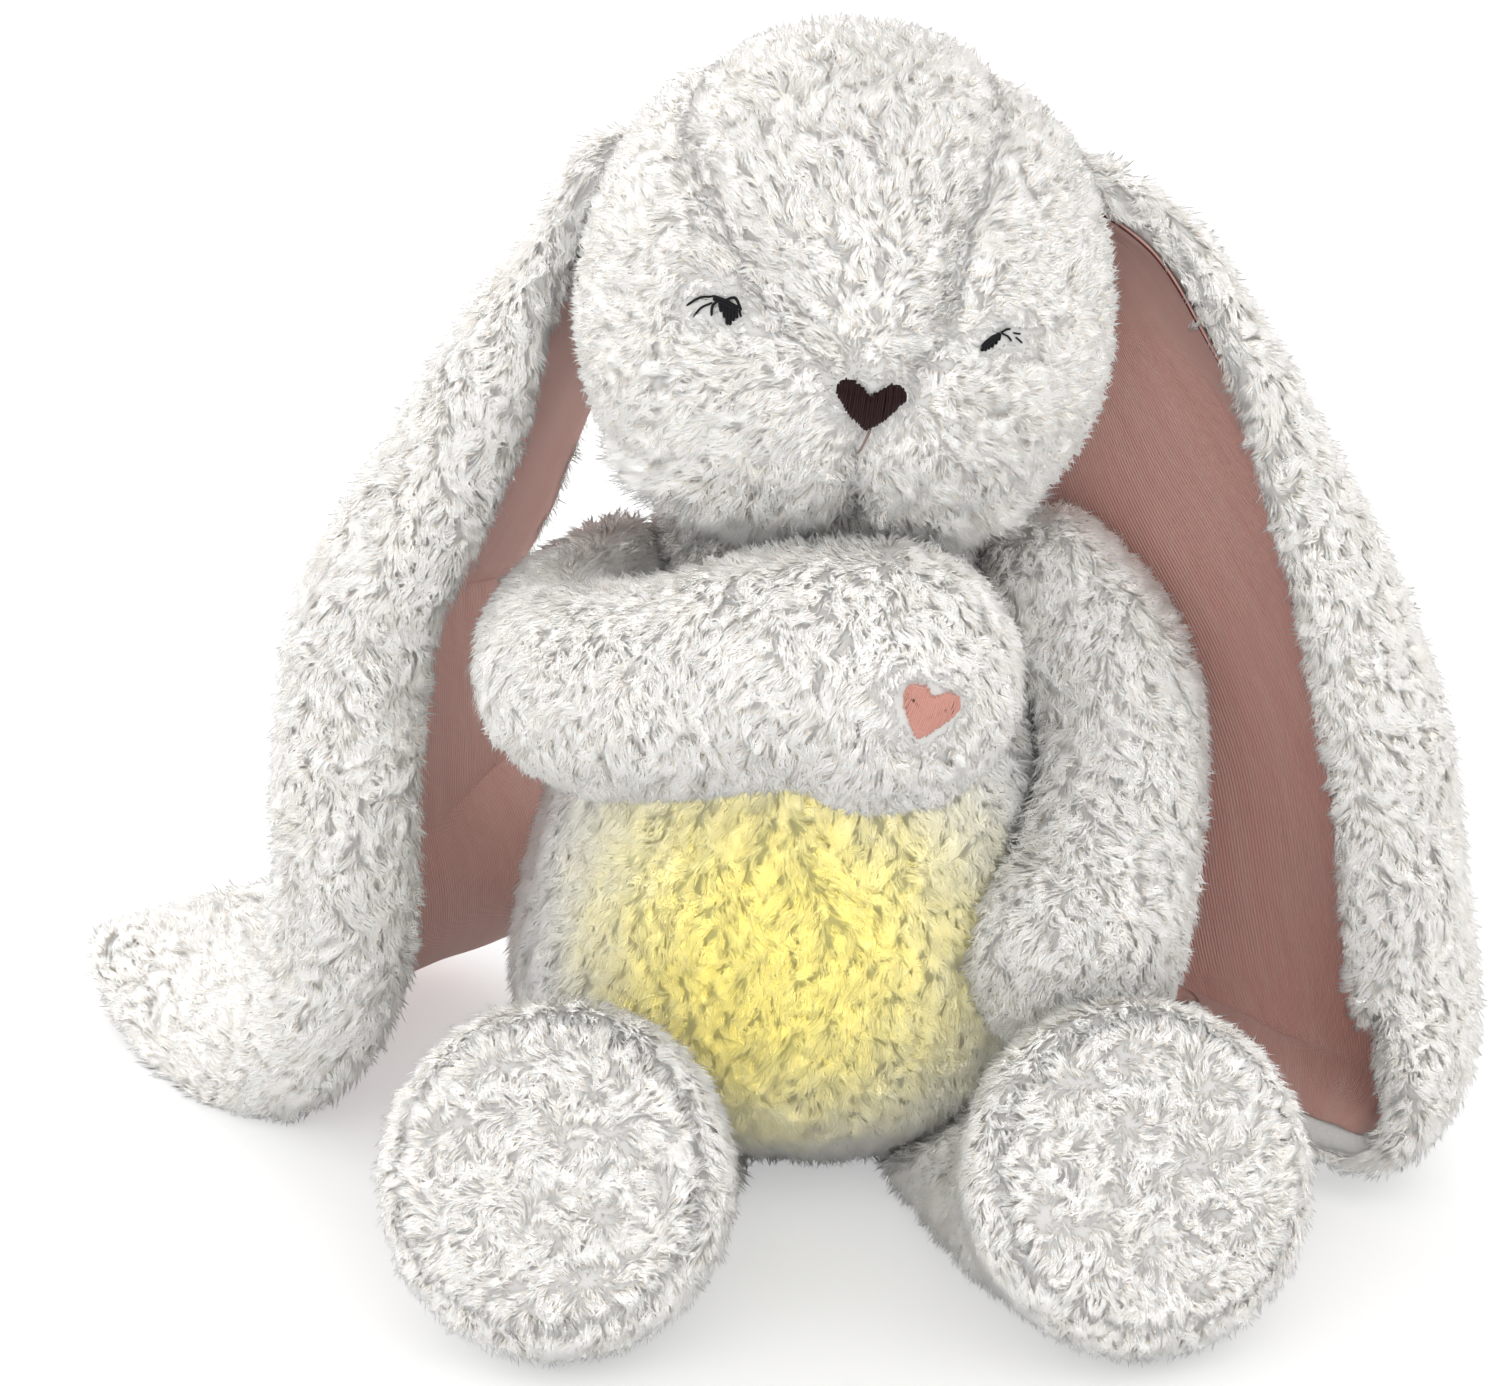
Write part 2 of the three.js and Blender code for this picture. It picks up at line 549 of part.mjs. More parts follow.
// Embroidery
function heartShape(width, height) {
  const half = width / 2;
  const heart = new THREE.Shape();
  heart.moveTo(0, -height / 2);
  heart.bezierCurveTo(-half * 0.3, -height * 0.25, -half, 0, -half, height * 0.2);
  heart.bezierCurveTo(-half, height * 0.55, -half * 0.25, height * 0.6, 0, height * 0.22);
  heart.bezierCurveTo(half * 0.25, height * 0.6, half, height * 0.55, half, height * 0.2);
  heart.bezierCurveTo(half, 0, half * 0.3, -height * 0.25, 0, -height / 2);
  return heart;
}

// A half-shut lid: a crescent, with lashes that leave it on its outer side.
function lidShape(width, height, outside) {
  const half = width / 2;
  const lid = new THREE.Shape();
  lid.moveTo(-half * outside, 0);
  lid.quadraticCurveTo(0, height * 0.75, half * outside, -height * 0.35);
  lid.lineTo(half * 0.75 * outside, -height * 0.6);
  lid.quadraticCurveTo(0, -height * 0.1, -half * outside, 0);
  return lid;
}

function stitchShape(width, height) {
  const stitch = new THREE.Shape();
  stitch.moveTo(-width / 2, -height / 2);
  stitch.lineTo(width / 2, -height / 2);
  stitch.lineTo(width / 2, height / 2);
  stitch.lineTo(-width / 2, height / 2);
  return stitch;
}

// A stitched shape that follows the cloth under it, cut from a layer of thread by a prism.
function stitchedOn(form, shape, place, reach) {
  const prism = new THREE.ExtrudeGeometry(shape, { depth: reach, bevelEnabled: false, curveSegments: 6 })
    .rotateX(Math.PI / 2).applyMatrix4(place);
  const layer = solidOf(form(gap + thread)).subtract(solidOf(form(gap)));
  return cut(overlap(layer, prism));
}

function face() {
  const onFace = ([x, z]) => headPlace.clone().multiply(new THREE.Matrix4().makeTranslation(
    x * head.halfWidth, 0, z * head.halfHeight));
  const reach = head.halfDepth * 1.5;
  const sewn = [
    ['nose', heartShape(nose.width, nose.height), faceShares.nose, finishes.darkThread],
    ['eye_right', lidShape(eye.width, eye.height, -1), faceShares.eyeRight, finishes.blackThread],
    ['eye_left', lidShape(eye.width, eye.height, 1), faceShares.eyeLeft, finishes.blackThread],
    ['mouth_stitch', stitchShape(mouth.width, mouth.height), faceShares.mouth, finishes.darkThread],
  ];
  for (const [name, shape, shares, material] of sewn) {
    piece(name, stitchedOn(headForm, shape, onFace(shares), reach), material);
  }
}

function heartOnPaw() {
  const shares = armBentShares.at(-1);
  const paw = new THREE.Vector3(...shares.slice(0, 3)).multiplyScalar(armBent.reach)
    .add(onTorso(seamShares.armBent))
    .add(new THREE.Vector3(pawHeart.width * 0.65, 0, pawHeart.height * 0.4));
  const lean = new THREE.Matrix4().makeRotationY(THREE.MathUtils.degToRad(pawHeart.lean));
  const place = new THREE.Matrix4().makeTranslation(paw).multiply(lean);
  piece('paw_heart', stitchedOn(armBentForm, heartShape(pawHeart.width, pawHeart.height), place,
    armBent.girth * 2), finishes.salmonThread);
}

// Light module
// Its parts are turned and stood along Y from its front, then moved into the belly.
const drumPlace = new THREE.Matrix4().makeTranslation(-drum.aside, -drum.forward, drum.up);
const turned = (profile, sides = drum.sides) =>
  new THREE.LatheGeometry(profile.map(([x, y]) => new THREE.Vector2(x, y)), sides);
const rod = (radius, from, to, x = 0, z = 0, sides = 16) =>
  new THREE.CylinderGeometry(radius, radius, to - from, sides).translate(x, (from + to) / 2, z);
const block = (width, from, to, height, x = 0, z = 0) =>
  new THREE.BoxGeometry(width, to - from, height).translate(x, (from + to) / 2, z);
const inDrum = (shape) => (isSolid(shape) ? geometryOf(shape) : shape).applyMatrix4(drumPlace);

const boardFront = drum.dome + drum.skirt + gap;
const boardBack = boardFront + board.thickness;
const backInside = drum.depth - drum.wall;
const bayHalfWidth = cell.length / 2 + bay.contactRoom;
const bayHalfHeight = (cell.pitch * cell.count) / 2 + gap;
const bayFront = backInside - 2 * cell.radius - gap - bay.wall;
const bossPlaces = drum.bossDegrees.map((degrees) => {
  const angle = THREE.MathUtils.degToRad(degrees);
  return [drum.bossCircle * Math.cos(angle), -drum.bossCircle * Math.sin(angle)];
});
const doorScrewUp = -bayHalfHeight - bay.wall - drum.bossRadius;
const buttonHeight = bayHalfHeight + bay.wall + button.flange + gap;

function lightDome() {
  const arc = (radius, height, steps) => Array.from({ length: steps + 1 }, (_, k) => {
    const angle = (k / steps) * (Math.PI / 2);
    return [radius * Math.sin(angle), drum.dome - height * Math.cos(angle)];
  });
  const back = drum.dome + drum.skirt;
  const inner = drum.radius - drum.wall;
  const profile = [...arc(drum.radius, drum.dome, 7), [drum.radius, back], [inner, back],
    ...arc(inner, drum.dome - drum.wall, 6).reverse()];
  piece('light_dome', inDrum(turned(profile)), finishes.milk);
}

function moduleHousing() {
  const front = drum.dome + drum.skirt + gap;
  const inner = drum.radius - drum.wall;
  const cup = turned([[inner, front], [drum.radius, front], [drum.radius, drum.depth], [0, drum.depth],
    [0, backInside], [inner, backInside], [inner, front]]);
  const bayBox = block(2 * (bayHalfWidth + bay.wall), bayFront, drum.depth, 2 * (bayHalfHeight + bay.wall));
  const bosses = bossPlaces.map(([x, z]) => rod(drum.bossRadius, boardBack + gap, drum.depth, x, z));
  const bayRoom = block(2 * bayHalfWidth, bayFront + bay.wall, drum.depth + overrun, 2 * bayHalfHeight);
  const pilots = bossPlaces.map(([x, z]) =>
    rod(screw.pilot, boardBack - overrun, boardBack + screw.length + gap, x, z, 10));
  const doorBoss = rod(drum.bossRadius, bayFront, drum.depth, 0, doorScrewUp);
  const past = drum.depth + overrun;
  const doorPilot = rod(screw.pilot, drum.depth - screw.length - overrun, past, 0, doorScrewUp, 10);
  const buttonHole = rod(button.radius + gap, backInside - overrun, past, 0, buttonHeight);
  const whole = join(cup, bayBox, doorBoss, ...bosses);
  const holes = [bayRoom, doorPlate(0, overrun), doorPilot, buttonHole, ...pilots];
  piece('module_housing', inDrum(cut(whole, ...holes)), finishes.shell);
}

// The battery door's plate, with the tab that its screw goes through, made smaller all round by an inset.
function doorPlate(inset, proud) {
  const tab = 2 * drum.bossRadius;
  const [front, back] = [backInside + inset, drum.depth + proud];
  const plate = block(2 * (bayHalfWidth - inset), front, back, 2 * (bayHalfHeight - inset));
  const reach = bayHalfHeight + bay.wall + tab - inset;
  return join(plate, block(tab - 2 * inset, front, back, reach, 0, -reach / 2));
}

function batteryDoor() {
  const hole = rod(screw.radius + gap, backInside - overrun, drum.depth + overrun, 0, doorScrewUp, 10);
  piece('battery_door', inDrum(cut(doorPlate(gap, 0), hole)), finishes.shell);
  screwAt('door_screw', drum.depth + gap, -1, 0, doorScrewUp);
}

// A pan-headed screw whose head rests on a face, with its shank going the given way along Y.
function screwAt(name, face, way, x, z) {
  const inHead = (-way * screw.headHeight) / 2;
  const tip = way * screw.length;
  const shank = rod(screw.radius, Math.min(inHead, tip), Math.max(inHead, tip), 0, 0, 12);
  const cap = rod(screw.head, Math.min(0, 2 * inHead), Math.max(0, 2 * inHead), 0, 0, 12);
  piece(name, inDrum(geometryOf(join(shank, cap)).translate(x, face, z)), finishes.metal);
}

function circuit() {
  const disc = rod(board.radius, boardFront, boardBack, 0, 0, drum.sides);
  const holes = bossPlaces.map(([x, z]) =>
    rod(screw.radius + gap, boardFront - overrun, boardBack + overrun, x, z, 10));
  piece('led_board', inDrum(cut(disc, ...holes)), finishes.circuit);
  bossPlaces.forEach(([x, z], k) => screwAt(`board_screw_${k + 1}`, boardFront - gap, 1, x, z));
  for (let k = 0; k < led.count; k++) {
    const angle = (2 * Math.PI * (k + 0.5)) / led.count;
    const dome = turned([[0, -led.height], [led.radius * 0.7, -led.height * 0.85],
      [led.radius, -led.height / 2], [led.radius, 0], [0, 0]], 8);
    dome.translate(led.circle * Math.cos(angle), boardFront - gap, led.circle * Math.sin(angle));
    piece(`led_${k + 1}`, inDrum(dome), finishes.milk);
  }
  const body = block(tact.width, boardBack + gap, boardBack + gap + tact.height, tact.width, 0, buttonHeight);
  const stemBack = boardBack + gap + tact.height + tact.stemHeight;
  const stem = rod(tact.stem, boardBack + gap, stemBack, 0, buttonHeight, 10);
  piece('tact_switch', inDrum(join(body, stem)), finishes.black);
}

function powerButton() {
  const stemEnd = boardBack + gap + tact.height + tact.stemHeight + button.travel + gap;
  const [flangeFront, flangeBack] = [backInside - gap - button.flangeHeight, backInside - gap];
  const flange = rod(button.flange, flangeFront, flangeBack, 0, buttonHeight, 20);
  const cap = rod(button.radius, flangeFront, drum.depth + button.proud, 0, buttonHeight, 20);
  const stem = rod(button.stem, stemEnd, flangeBack, 0, buttonHeight, 10);
  piece('power_button', inDrum(join(flange, cap, stem)), finishes.black);
}

// A tapered coil spring along X, as one unbroken wire.
function coilSpring(x, y, z) {
  const rings = [];
  const count = spring.turns * spring.steps;
  const centre = (k) => {
    const share = k / count;
    const angle = 2 * Math.PI * spring.turns * share;
    const radius = spring.wide + (spring.narrow - spring.wide) * share;
    const [across, above] = [radius * Math.cos(angle), radius * Math.sin(angle)];
    return new THREE.Vector3(x + spring.length * share, y + across, z + above);
  };
  for (let k = 0; k <= count; k++) {
    const along = centre(Math.min(k + 1, count)).sub(centre(Math.max(k - 1, 0))).normalize();
    const side = new THREE.Vector3().crossVectors(along, sideways).normalize();
    const top = new THREE.Vector3().crossVectors(side, along);
    rings.push(Array.from({ length: spring.sides }, (_, s) => {
      const angle = (2 * Math.PI * s) / spring.sides;
      return centre(k).addScaledVector(side, spring.wire * Math.cos(angle))
        .addScaledVector(top, spring.wire * Math.sin(angle));
    }));
  }
  return closeRings(rings, centre(0), centre(count));
}

function cells() {
  const middle = bayFront + bay.wall + gap + cell.radius;
  for (let k = 0; k < cell.count; k++) {
    const height = (k - (cell.count - 1) / 2) * cell.pitch;
    const half = cell.length / 2;
    const can = turned([[0, -half], [cell.radius, -half], [cell.radius, half - cell.nubLength],
      [cell.nub, half - cell.nubLength], [cell.nub, half], [0, half]], 12)
      .rotateZ(-Math.PI / 2).translate(0, middle, height);
    piece(`battery_${k + 1}`, inDrum(can), finishes.jacket);
    const coil = coilSpring(-half - spring.length - gap - spring.wire, middle, height);
    piece(`contact_spring_${k + 1}`, inDrum(coil), finishes.metal);
    const plate = new THREE.BoxGeometry(contact.thickness, contact.width, contact.width)
      .translate(half + gap + contact.thickness / 2, middle, height);
    piece(`contact_plate_${k + 1}`, inDrum(plate), finishes.metal);
  }
}

// Pocket
const pocketRadius = drum.radius + pocket.clearance;
const flapHalf = pocketRadius + pocket.flapBorder;

function roundedSquare(half, corner) {
  const shape = new THREE.Shape();
  shape.moveTo(-half + corner, -half);
  shape.lineTo(half - corner, -half);
  shape.absarc(half - corner, -half + corner, corner, -Math.PI / 2, 0);
  shape.lineTo(half, half - corner);
  shape.absarc(half - corner, half - corner, corner, 0, Math.PI / 2);
  shape.lineTo(-half + corner, half);
  shape.absarc(-half + corner, half - corner, corner, Math.PI / 2, Math.PI);
  shape.lineTo(-half, -half + corner);
  shape.absarc(-half + corner, -half + corner, corner, Math.PI, Math.PI * 1.5);
  return shape;
}

// Stands a flat outline up and runs it from the middle of the body out through the back.
const backPrism = (shape, x, z) => new THREE.ExtrudeGeometry(shape, {
  depth: torso.halfDepth * 2, bevelEnabled: false, curveSegments: 4,
}).rotateX(-Math.PI / 2).translate(x, 0, z);

const layerOfBack = (outer, inner, prism) =>
  cut(overlap(solidOf(torsoForm(-outer)).subtract(solidOf(torsoForm(-inner))), prism));

function pocketParts() {
  const flapPrism = (grow) =>
    backPrism(roundedSquare(flapHalf + grow, pocket.flapCorner + grow), -drum.aside, drum.up);
  const stripShape = stitchShape(strip.width, strip.height);
  const stripUp = drum.up - flapHalf + strip.inset + strip.height / 2;
  const stripPrism = backPrism(stripShape, -drum.aside, stripUp);
  const hookFrom = pocket.flapThickness + gap;
  const loopFrom = hookFrom + strip.thickness + gap;
  const recessFrom = loopFrom + strip.thickness + gap;
  const skin = solidOf(torsoForm(overrun)).subtract(solidOf(torsoForm(-recessFrom)));
  const recess = overlap(flapPrism(gap), skin);
  const bore = rod(pocketRadius, -pocket.clearance, torso.halfDepth * 3, 0, 0, drum.sides);
  piece('torso', cut(torsoForm(), inDrum(bore), recess), finishes.pile);
  piece('pocket_flap', layerOfBack(0, pocket.flapThickness, flapPrism(0)), finishes.pile);
  piece('pocket_hook_strip', layerOfBack(hookFrom, hookFrom + strip.thickness, stripPrism), finishes.tape);
  piece('pocket_loop_strip', layerOfBack(loopFrom, loopFrom + strip.thickness, stripPrism), finishes.tape);
  const padFront = drum.depth + button.proud + gap;
  const padRadius = pocketRadius - gap;
  const padBack = drum.forward + torso.halfDepth * 0.66;
  const crown = pocket.padCrown;
  const [rim, swell] = [padFront + crown / 4, padFront + crown * 1.5];
  const half = [[0, padFront], [padRadius - crown, rim], [padRadius, swell]];
  const pad = turned([...half, ...half.toReversed().map(([x, y]) => [x, padFront + padBack - y])], 24);
  piece('pocket_pad', inDrum(pad), finishes.pile);
}

plush();
face();
heartOnPaw();
lightDome();
moduleHousing();
batteryDoor();
circuit();
powerButton();
cells();
pocketParts();

rabbit.userData.hinges = hinges;

export default rabbit;
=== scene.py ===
"""Dresses a seated plush rabbit: curly pile on stuffed skins, satin-lined ears, stitched face and a glowing belly."""

import json
import math

import bmesh
import bpy
import numpy as np
from mathutils import Matrix, Vector
from mathutils.bvhtree import BVHTree
from mathutils.kdtree import KDTree


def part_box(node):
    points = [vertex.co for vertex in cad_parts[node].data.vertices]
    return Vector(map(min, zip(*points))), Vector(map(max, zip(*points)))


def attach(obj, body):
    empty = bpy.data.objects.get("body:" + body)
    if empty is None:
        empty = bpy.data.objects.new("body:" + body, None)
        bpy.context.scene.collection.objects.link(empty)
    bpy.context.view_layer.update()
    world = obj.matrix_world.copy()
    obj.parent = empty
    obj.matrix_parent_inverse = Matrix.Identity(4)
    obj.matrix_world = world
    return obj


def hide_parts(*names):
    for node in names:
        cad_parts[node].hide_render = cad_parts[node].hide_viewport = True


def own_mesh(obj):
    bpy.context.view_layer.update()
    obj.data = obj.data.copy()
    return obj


bl_info = {
    "name": "Plush Rabbit Dressing",
    "version": (1, 0, 0),
    "blender": (4, 5, 0),
    "location": "3D View > Sidebar > Rabbit",
    "description": "Grows the pile, sews the face and linings and lights a seated plush rabbit",
    "category": "Object",
}

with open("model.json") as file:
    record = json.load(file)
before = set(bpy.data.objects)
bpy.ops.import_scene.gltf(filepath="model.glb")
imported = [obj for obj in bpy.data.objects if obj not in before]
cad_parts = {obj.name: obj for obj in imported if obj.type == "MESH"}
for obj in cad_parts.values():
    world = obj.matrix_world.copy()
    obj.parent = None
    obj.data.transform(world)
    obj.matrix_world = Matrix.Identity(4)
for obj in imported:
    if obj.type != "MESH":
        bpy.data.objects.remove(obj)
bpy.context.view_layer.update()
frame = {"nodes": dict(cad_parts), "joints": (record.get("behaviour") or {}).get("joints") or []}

MM = 0.001
DOWN = np.array([0.0, 0.0, -1.0])

# Where the camera stands and looks, its focal length and the width of its sensor in millimetres
EYE = (-0.015, -1.2176, 0.6608)
AIM = (-0.015, -0.03, 0.132)
LENS = 127.92
SENSOR = 36.0

# The ears' own sizes, as in the frame, and the shares, turn and depths that shape both of them
EAR_LENGTH = 300 * MM
EAR_WIDTH = 134 * MM
EAR_THICKNESS = 12 * MM
EAR_ROLL_SHARE = 0.29
EAR_ROLL_TURN = math.radians(160)
EAR_DEPTH = 1.2 * MM
HEM_SHARE = 0.04
END_SHARE = 0.035
ROOT_SHARE = 0.06
LINING_OFFSET = 0.7 * MM
SATIN_THICKNESS = 0.5 * MM

# Stops along the fold of each ear: outwards, forwards and up, then where the lining looks
EAR_RIGHT_SHARES = (
    (0, 0, 0, 0.35, -0.8, -0.45), (0.045, 0, -0.08, 0.5, -0.8, -0.3), (0.103, 0, -0.17, 0.85, -0.5, -0.1),
    (0.17, 0.01, -0.29, 0.88, -0.46, 0), (0.25, 0.03, -0.44, 0.88, -0.47, 0), (0.276, 0.04, -0.6, 0.83, -0.55, 0),
    (0.282, 0.035, -0.76, 0.82, -0.56, -0.1), (0.315, -0.02, -0.87, 0.4, -0.5, -0.6),
    (0.39, -0.11, -0.92, 0.1, -0.25, -0.95), (0.485, -0.24, -0.945, 0, -0.05, -1),
)
EAR_LEFT_SHARES = (
    (0, 0, 0, 0.2, -0.87, -0.45), (0.12, 0, -0.08, 0.3, -0.9, -0.3), (0.182, 0, -0.17, 0.34, -0.92, -0.1),
    (0.238, 0, -0.29, 0.38, -0.92, 0), (0.3, 0.01, -0.43, 0.38, -0.92, 0), (0.346, 0.02, -0.58, 0.38, -0.92, 0),
    (0.366, 0.025, -0.73, 0.38, -0.92, 0.05), (0.377, 0.045, -0.86, 0.32, -0.88, 0.3),
    (0.36, 0.1, -0.935, 0.2, -0.6, 0.75), (0.305, 0.195, -0.96, 0.1, -0.3, 0.95),
)
# Along each ear: its width, its roll and the width that runs back to the lip
EAR_RIGHT_WIDTHS = (
    (0, 0.24, 0.1, 0.03), (0.12, 0.44, 0.35, 0.03), (0.3, 0.8, 0.9, 0.03), (0.5, 1, 1, 0.05),
    (0.75, 0.97, 0.9, 0.05), (0.88, 0.86, 0.5, 0.05), (0.96, 0.62, 0.2, 0.03), (1, 0.3, 0.05, 0.03),
)
EAR_LEFT_WIDTHS = (
    (0, 0.24, 0.1, 0), (0.12, 0.5, 0.3, 0.02), (0.3, 0.86, 0.72, 0.035), (0.5, 1, 1, 0.06), (0.65, 1, 1, 0.08),
    (0.78, 0.97, 1, 0.1), (0.88, 0.88, 0.95, 0.12), (0.96, 0.66, 0.8, 0.12), (1, 0.36, 0.4, 0.08),
)
EARS = {
    "right": {"mirror": -1, "stops": EAR_RIGHT_SHARES, "widths": EAR_RIGHT_WIDTHS, "cup": math.radians(-6)},
    "left": {"mirror": 1, "stops": EAR_LEFT_SHARES, "widths": EAR_LEFT_WIDTHS, "cup": math.radians(18)},
}

# The torso's own sizes, and its outline: how wide, how deep and how far it leans forwards at each height
TORSO_HEIGHT = 184 * MM
TORSO_BASE = 2.7 * MM
TORSO_HALF_WIDTH = 76 * MM
TORSO_HALF_DEPTH = 60 * MM
TORSO_SHARES = (
    (0, 0.68, 0.64, -0.2), (0.04, 0.84, 0.8, -0.14), (0.13, 0.97, 0.96, -0.03), (0.26, 1, 1.02, 0.05),
    (0.42, 0.92, 0.96, 0.06), (0.6, 0.79, 0.85, 0.04), (0.78, 0.64, 0.7, 0.01), (0.9, 0.48, 0.54, 0),
    (0.97, 0.28, 0.32, 0), (1, 0.04, 0.05, 0),
)

# The head's own frame, and places on it in millimetres: across, forwards (minus) and up
HEAD_PLACE = Matrix.Translation((8 * MM, -20 * MM, 238 * MM)) @ Matrix.Rotation(math.radians(7), 4, "Z") \
    @ Matrix.Rotation(math.radians(7), 4, "Y")
HEAD_SEAMS = (
    ((-16, 58, 8), (-26, 48, 32), (-34, 24, 46), (-43, -4, 43), (-43.9, -13, 39.6), (-41.5, -34, 30.6),
     (-34.4, -46, 21), (-27.6, -54, 10.7), (-19.9, -60, 4.7), (-11.6, -64.7, -1.4)),
    ((14, 58, 8), (22, 48, 32), (28, 24, 48), (30, 4, 50), (29.7, -1.2, 49.8), (22.4, -43, 38.7),
     (16.9, -53.5, 25.7), (15.5, -59, 16), (12.8, -63, 7), (6.7, -66, -1.9)),
    ((-2.2, -66.8, -16), (-3.9, -65.3, -22.5), (-3.3, -61.4, -30), (-1.2, -54.8, -38.8), (1.5, -44, -47)),
)
NOSE = (-3.0, -9.9)
NOSE_SIZE = (15.6, 11.8)
MOUTH = ((-1.9, -15.5), (-2.6, -18.2), (-3.3, -20.6), (-3.9, -22.6))
# Stitches of the half-shut eyes: each its thickness, then its run over the face
EYE_STITCHES = {
    "eye_right": (
        (0.3, (-44.2, 3.2), (-41.5, 6.2), (-38.9, 7.4)), (0.28, (-42.7, 1.0), (-41.1, 4.0), (-39.0, 6.0)),
        (0.34, (-38.9, 2.9), (-38.8, 5.3), (-37.7, 6.8)), (0.45, (-39.2, 7.4), (-36.2, 7.1), (-33.2, 6.2)),
        (0.45, (-38.9, 6.8), (-36.2, 6.4), (-33.4, 5.5)), (0.38, (-36.4, 7.0), (-34.2, 8.2), (-32.7, 5.8)),
        (0.45, (-37.4, 6.6), (-36.9, 4.4)), (0.45, (-36.6, 6.6), (-36.1, 3.3)), (0.45, (-35.9, 6.5), (-35.4, 1.9)),
        (0.45, (-35.2, 6.4), (-34.8, 2.0)), (0.45, (-34.5, 6.2), (-34.2, 3.1)), (0.42, (-33.8, 6.2), (-33.5, 3.9)),
        (0.3, (-33.1, 5.9), (-32.6, 4.4)),
    ),
    "eye_left": (
        (0.42, (22.2, 3.3), (24.0, 5.1), (27.4, 6.5)), (0.42, (22.5, 2.9), (24.4, 4.4), (27.2, 5.9)),
        (0.42, (22.8, 4.2), (22.7, 2.8)), (0.45, (23.6, 4.9), (23.5, 2.7)), (0.45, (24.4, 5.3), (24.3, 3.0)),
        (0.45, (25.2, 5.8), (25.2, 3.3)), (0.45, (26.0, 6.1), (26.1, 3.9)), (0.4, (26.8, 6.4), (26.8, 4.7)),
        (0.28, (27.2, 6.4), (28.4, 6.9), (29.6, 6.9)), (0.26, (27.4, 6.2), (29.0, 5.3), (30.3, 3.9)),
        (0.24, (31.2, 4.8), (33.1, 3.2)), (0.24, (30.4, 5.9), (32.4, 5.4)),
    ),
}
# The paw's heart: a frame in front of it, its middle and its size in millimetres, and how far it leans
PAW_PLACE = Matrix.Translation((0, -130 * MM, 0))
HEART = (25.3, 163.4)
HEART_SIZE = (13.6, 12.0)
HEART_LEAN = math.radians(20)
# From the middle of a foot's sole to its rim
SOLE_REACH = 36 * MM
# Where the light behind the belly is brightest, and how far it reaches
GLOW_PLACE = (-7 * MM, -60 * MM, 75 * MM)
GLOW_CORE = 14 * MM
GLOW_REACH = 74 * MM
# The pocket in the back: its middle across and up, and half its side
POCKET_PLACE = (-4 * MM, 78 * MM)
POCKET_HALF = 45.5 * MM
# How much the locks of pile stand up: most of them, the share that stands off, and the next share
LIFT = 0.18
STRAY_SHARE, STRAY_RISE = 0.16, 1.15
RAISED_SHARE, RAISED_RISE = 0.4, 0.55
# How much most locks and those that stand off are drawn together in tufts
GATHERED, STRAY_GATHERED = 0.45, 0.15
# Where along a lock it is widest, and its thickness as a share of its width
WIDEST = 0.42
LOCK_THICKNESS = 0.35
# The lowest that pile and ears reach
PILE_FLOOR = 0.1 * MM
EAR_FLOOR = 0.4 * MM
# The faces of one lock, on its root, the three corners of its widest place and its tip: first those near its root
LOCK_FACES = np.array([(0, 1, 2), (0, 2, 3), (0, 3, 1), (4, 2, 1), (4, 3, 2), (4, 1, 3)])
# The place of the painted shade among the pile's materials: the half of each lock that is near its root has this
# darker colour, which stands in for shade between the locks
PAINTED_SHADE_TINT = 2
# Each lamp's name, place, size, power and tint, and the point that they all look at
LAMP_AIM = (0, 0, 0.12)
LAMPS = (
    ("key", (0.9, -1.1, 1.6), 2.0, 4.8, (0.94, 0.975, 1)), ("fill", (-0.7, -1.6, 0.7), 2.0, 7.4, (0.95, 0.98, 1)),
    ("back", (-0.9, 1.4, 0.55), 0.7, 7, (1, 1, 1)), ("right side", (-1.4, 0.8, 0.45), 0.5, 2.6, (1, 1, 1)),
    ("left side", (1.4, 0.9, 0.45), 0.5, 2.6, (1, 1, 1)),
)


def measure(name, description, default):
    return bpy.props.FloatProperty(name=name, description=description, default=default, unit="LENGTH", precision=5)


def shade(name, description, default):
    return bpy.props.FloatVectorProperty(name=name, description=description, default=default, subtype="COLOR")


class RabbitPile(bpy.types.PropertyGroup):
    """Sizes of the curly pile."""

    length: measure("Length", "Length of one lock of pile", 6.2 * MM)
    width: measure("Width", "Width of one lock at its widest", 0.8 * MM)
    spacing: measure("Spacing", "Distance from one lock to the next", 0.74 * MM)
    depth: measure("Depth", "How far the cloth under the pile lies inside the soft solid", 1.2 * MM)
    clump: measure("Clump", "Size of the tufts that the locks gather in", 2.8 * MM)
    crisp: bpy.props.FloatProperty(
        name="Crisp", description="How much the shading tells one lock from the next", default=0.08)


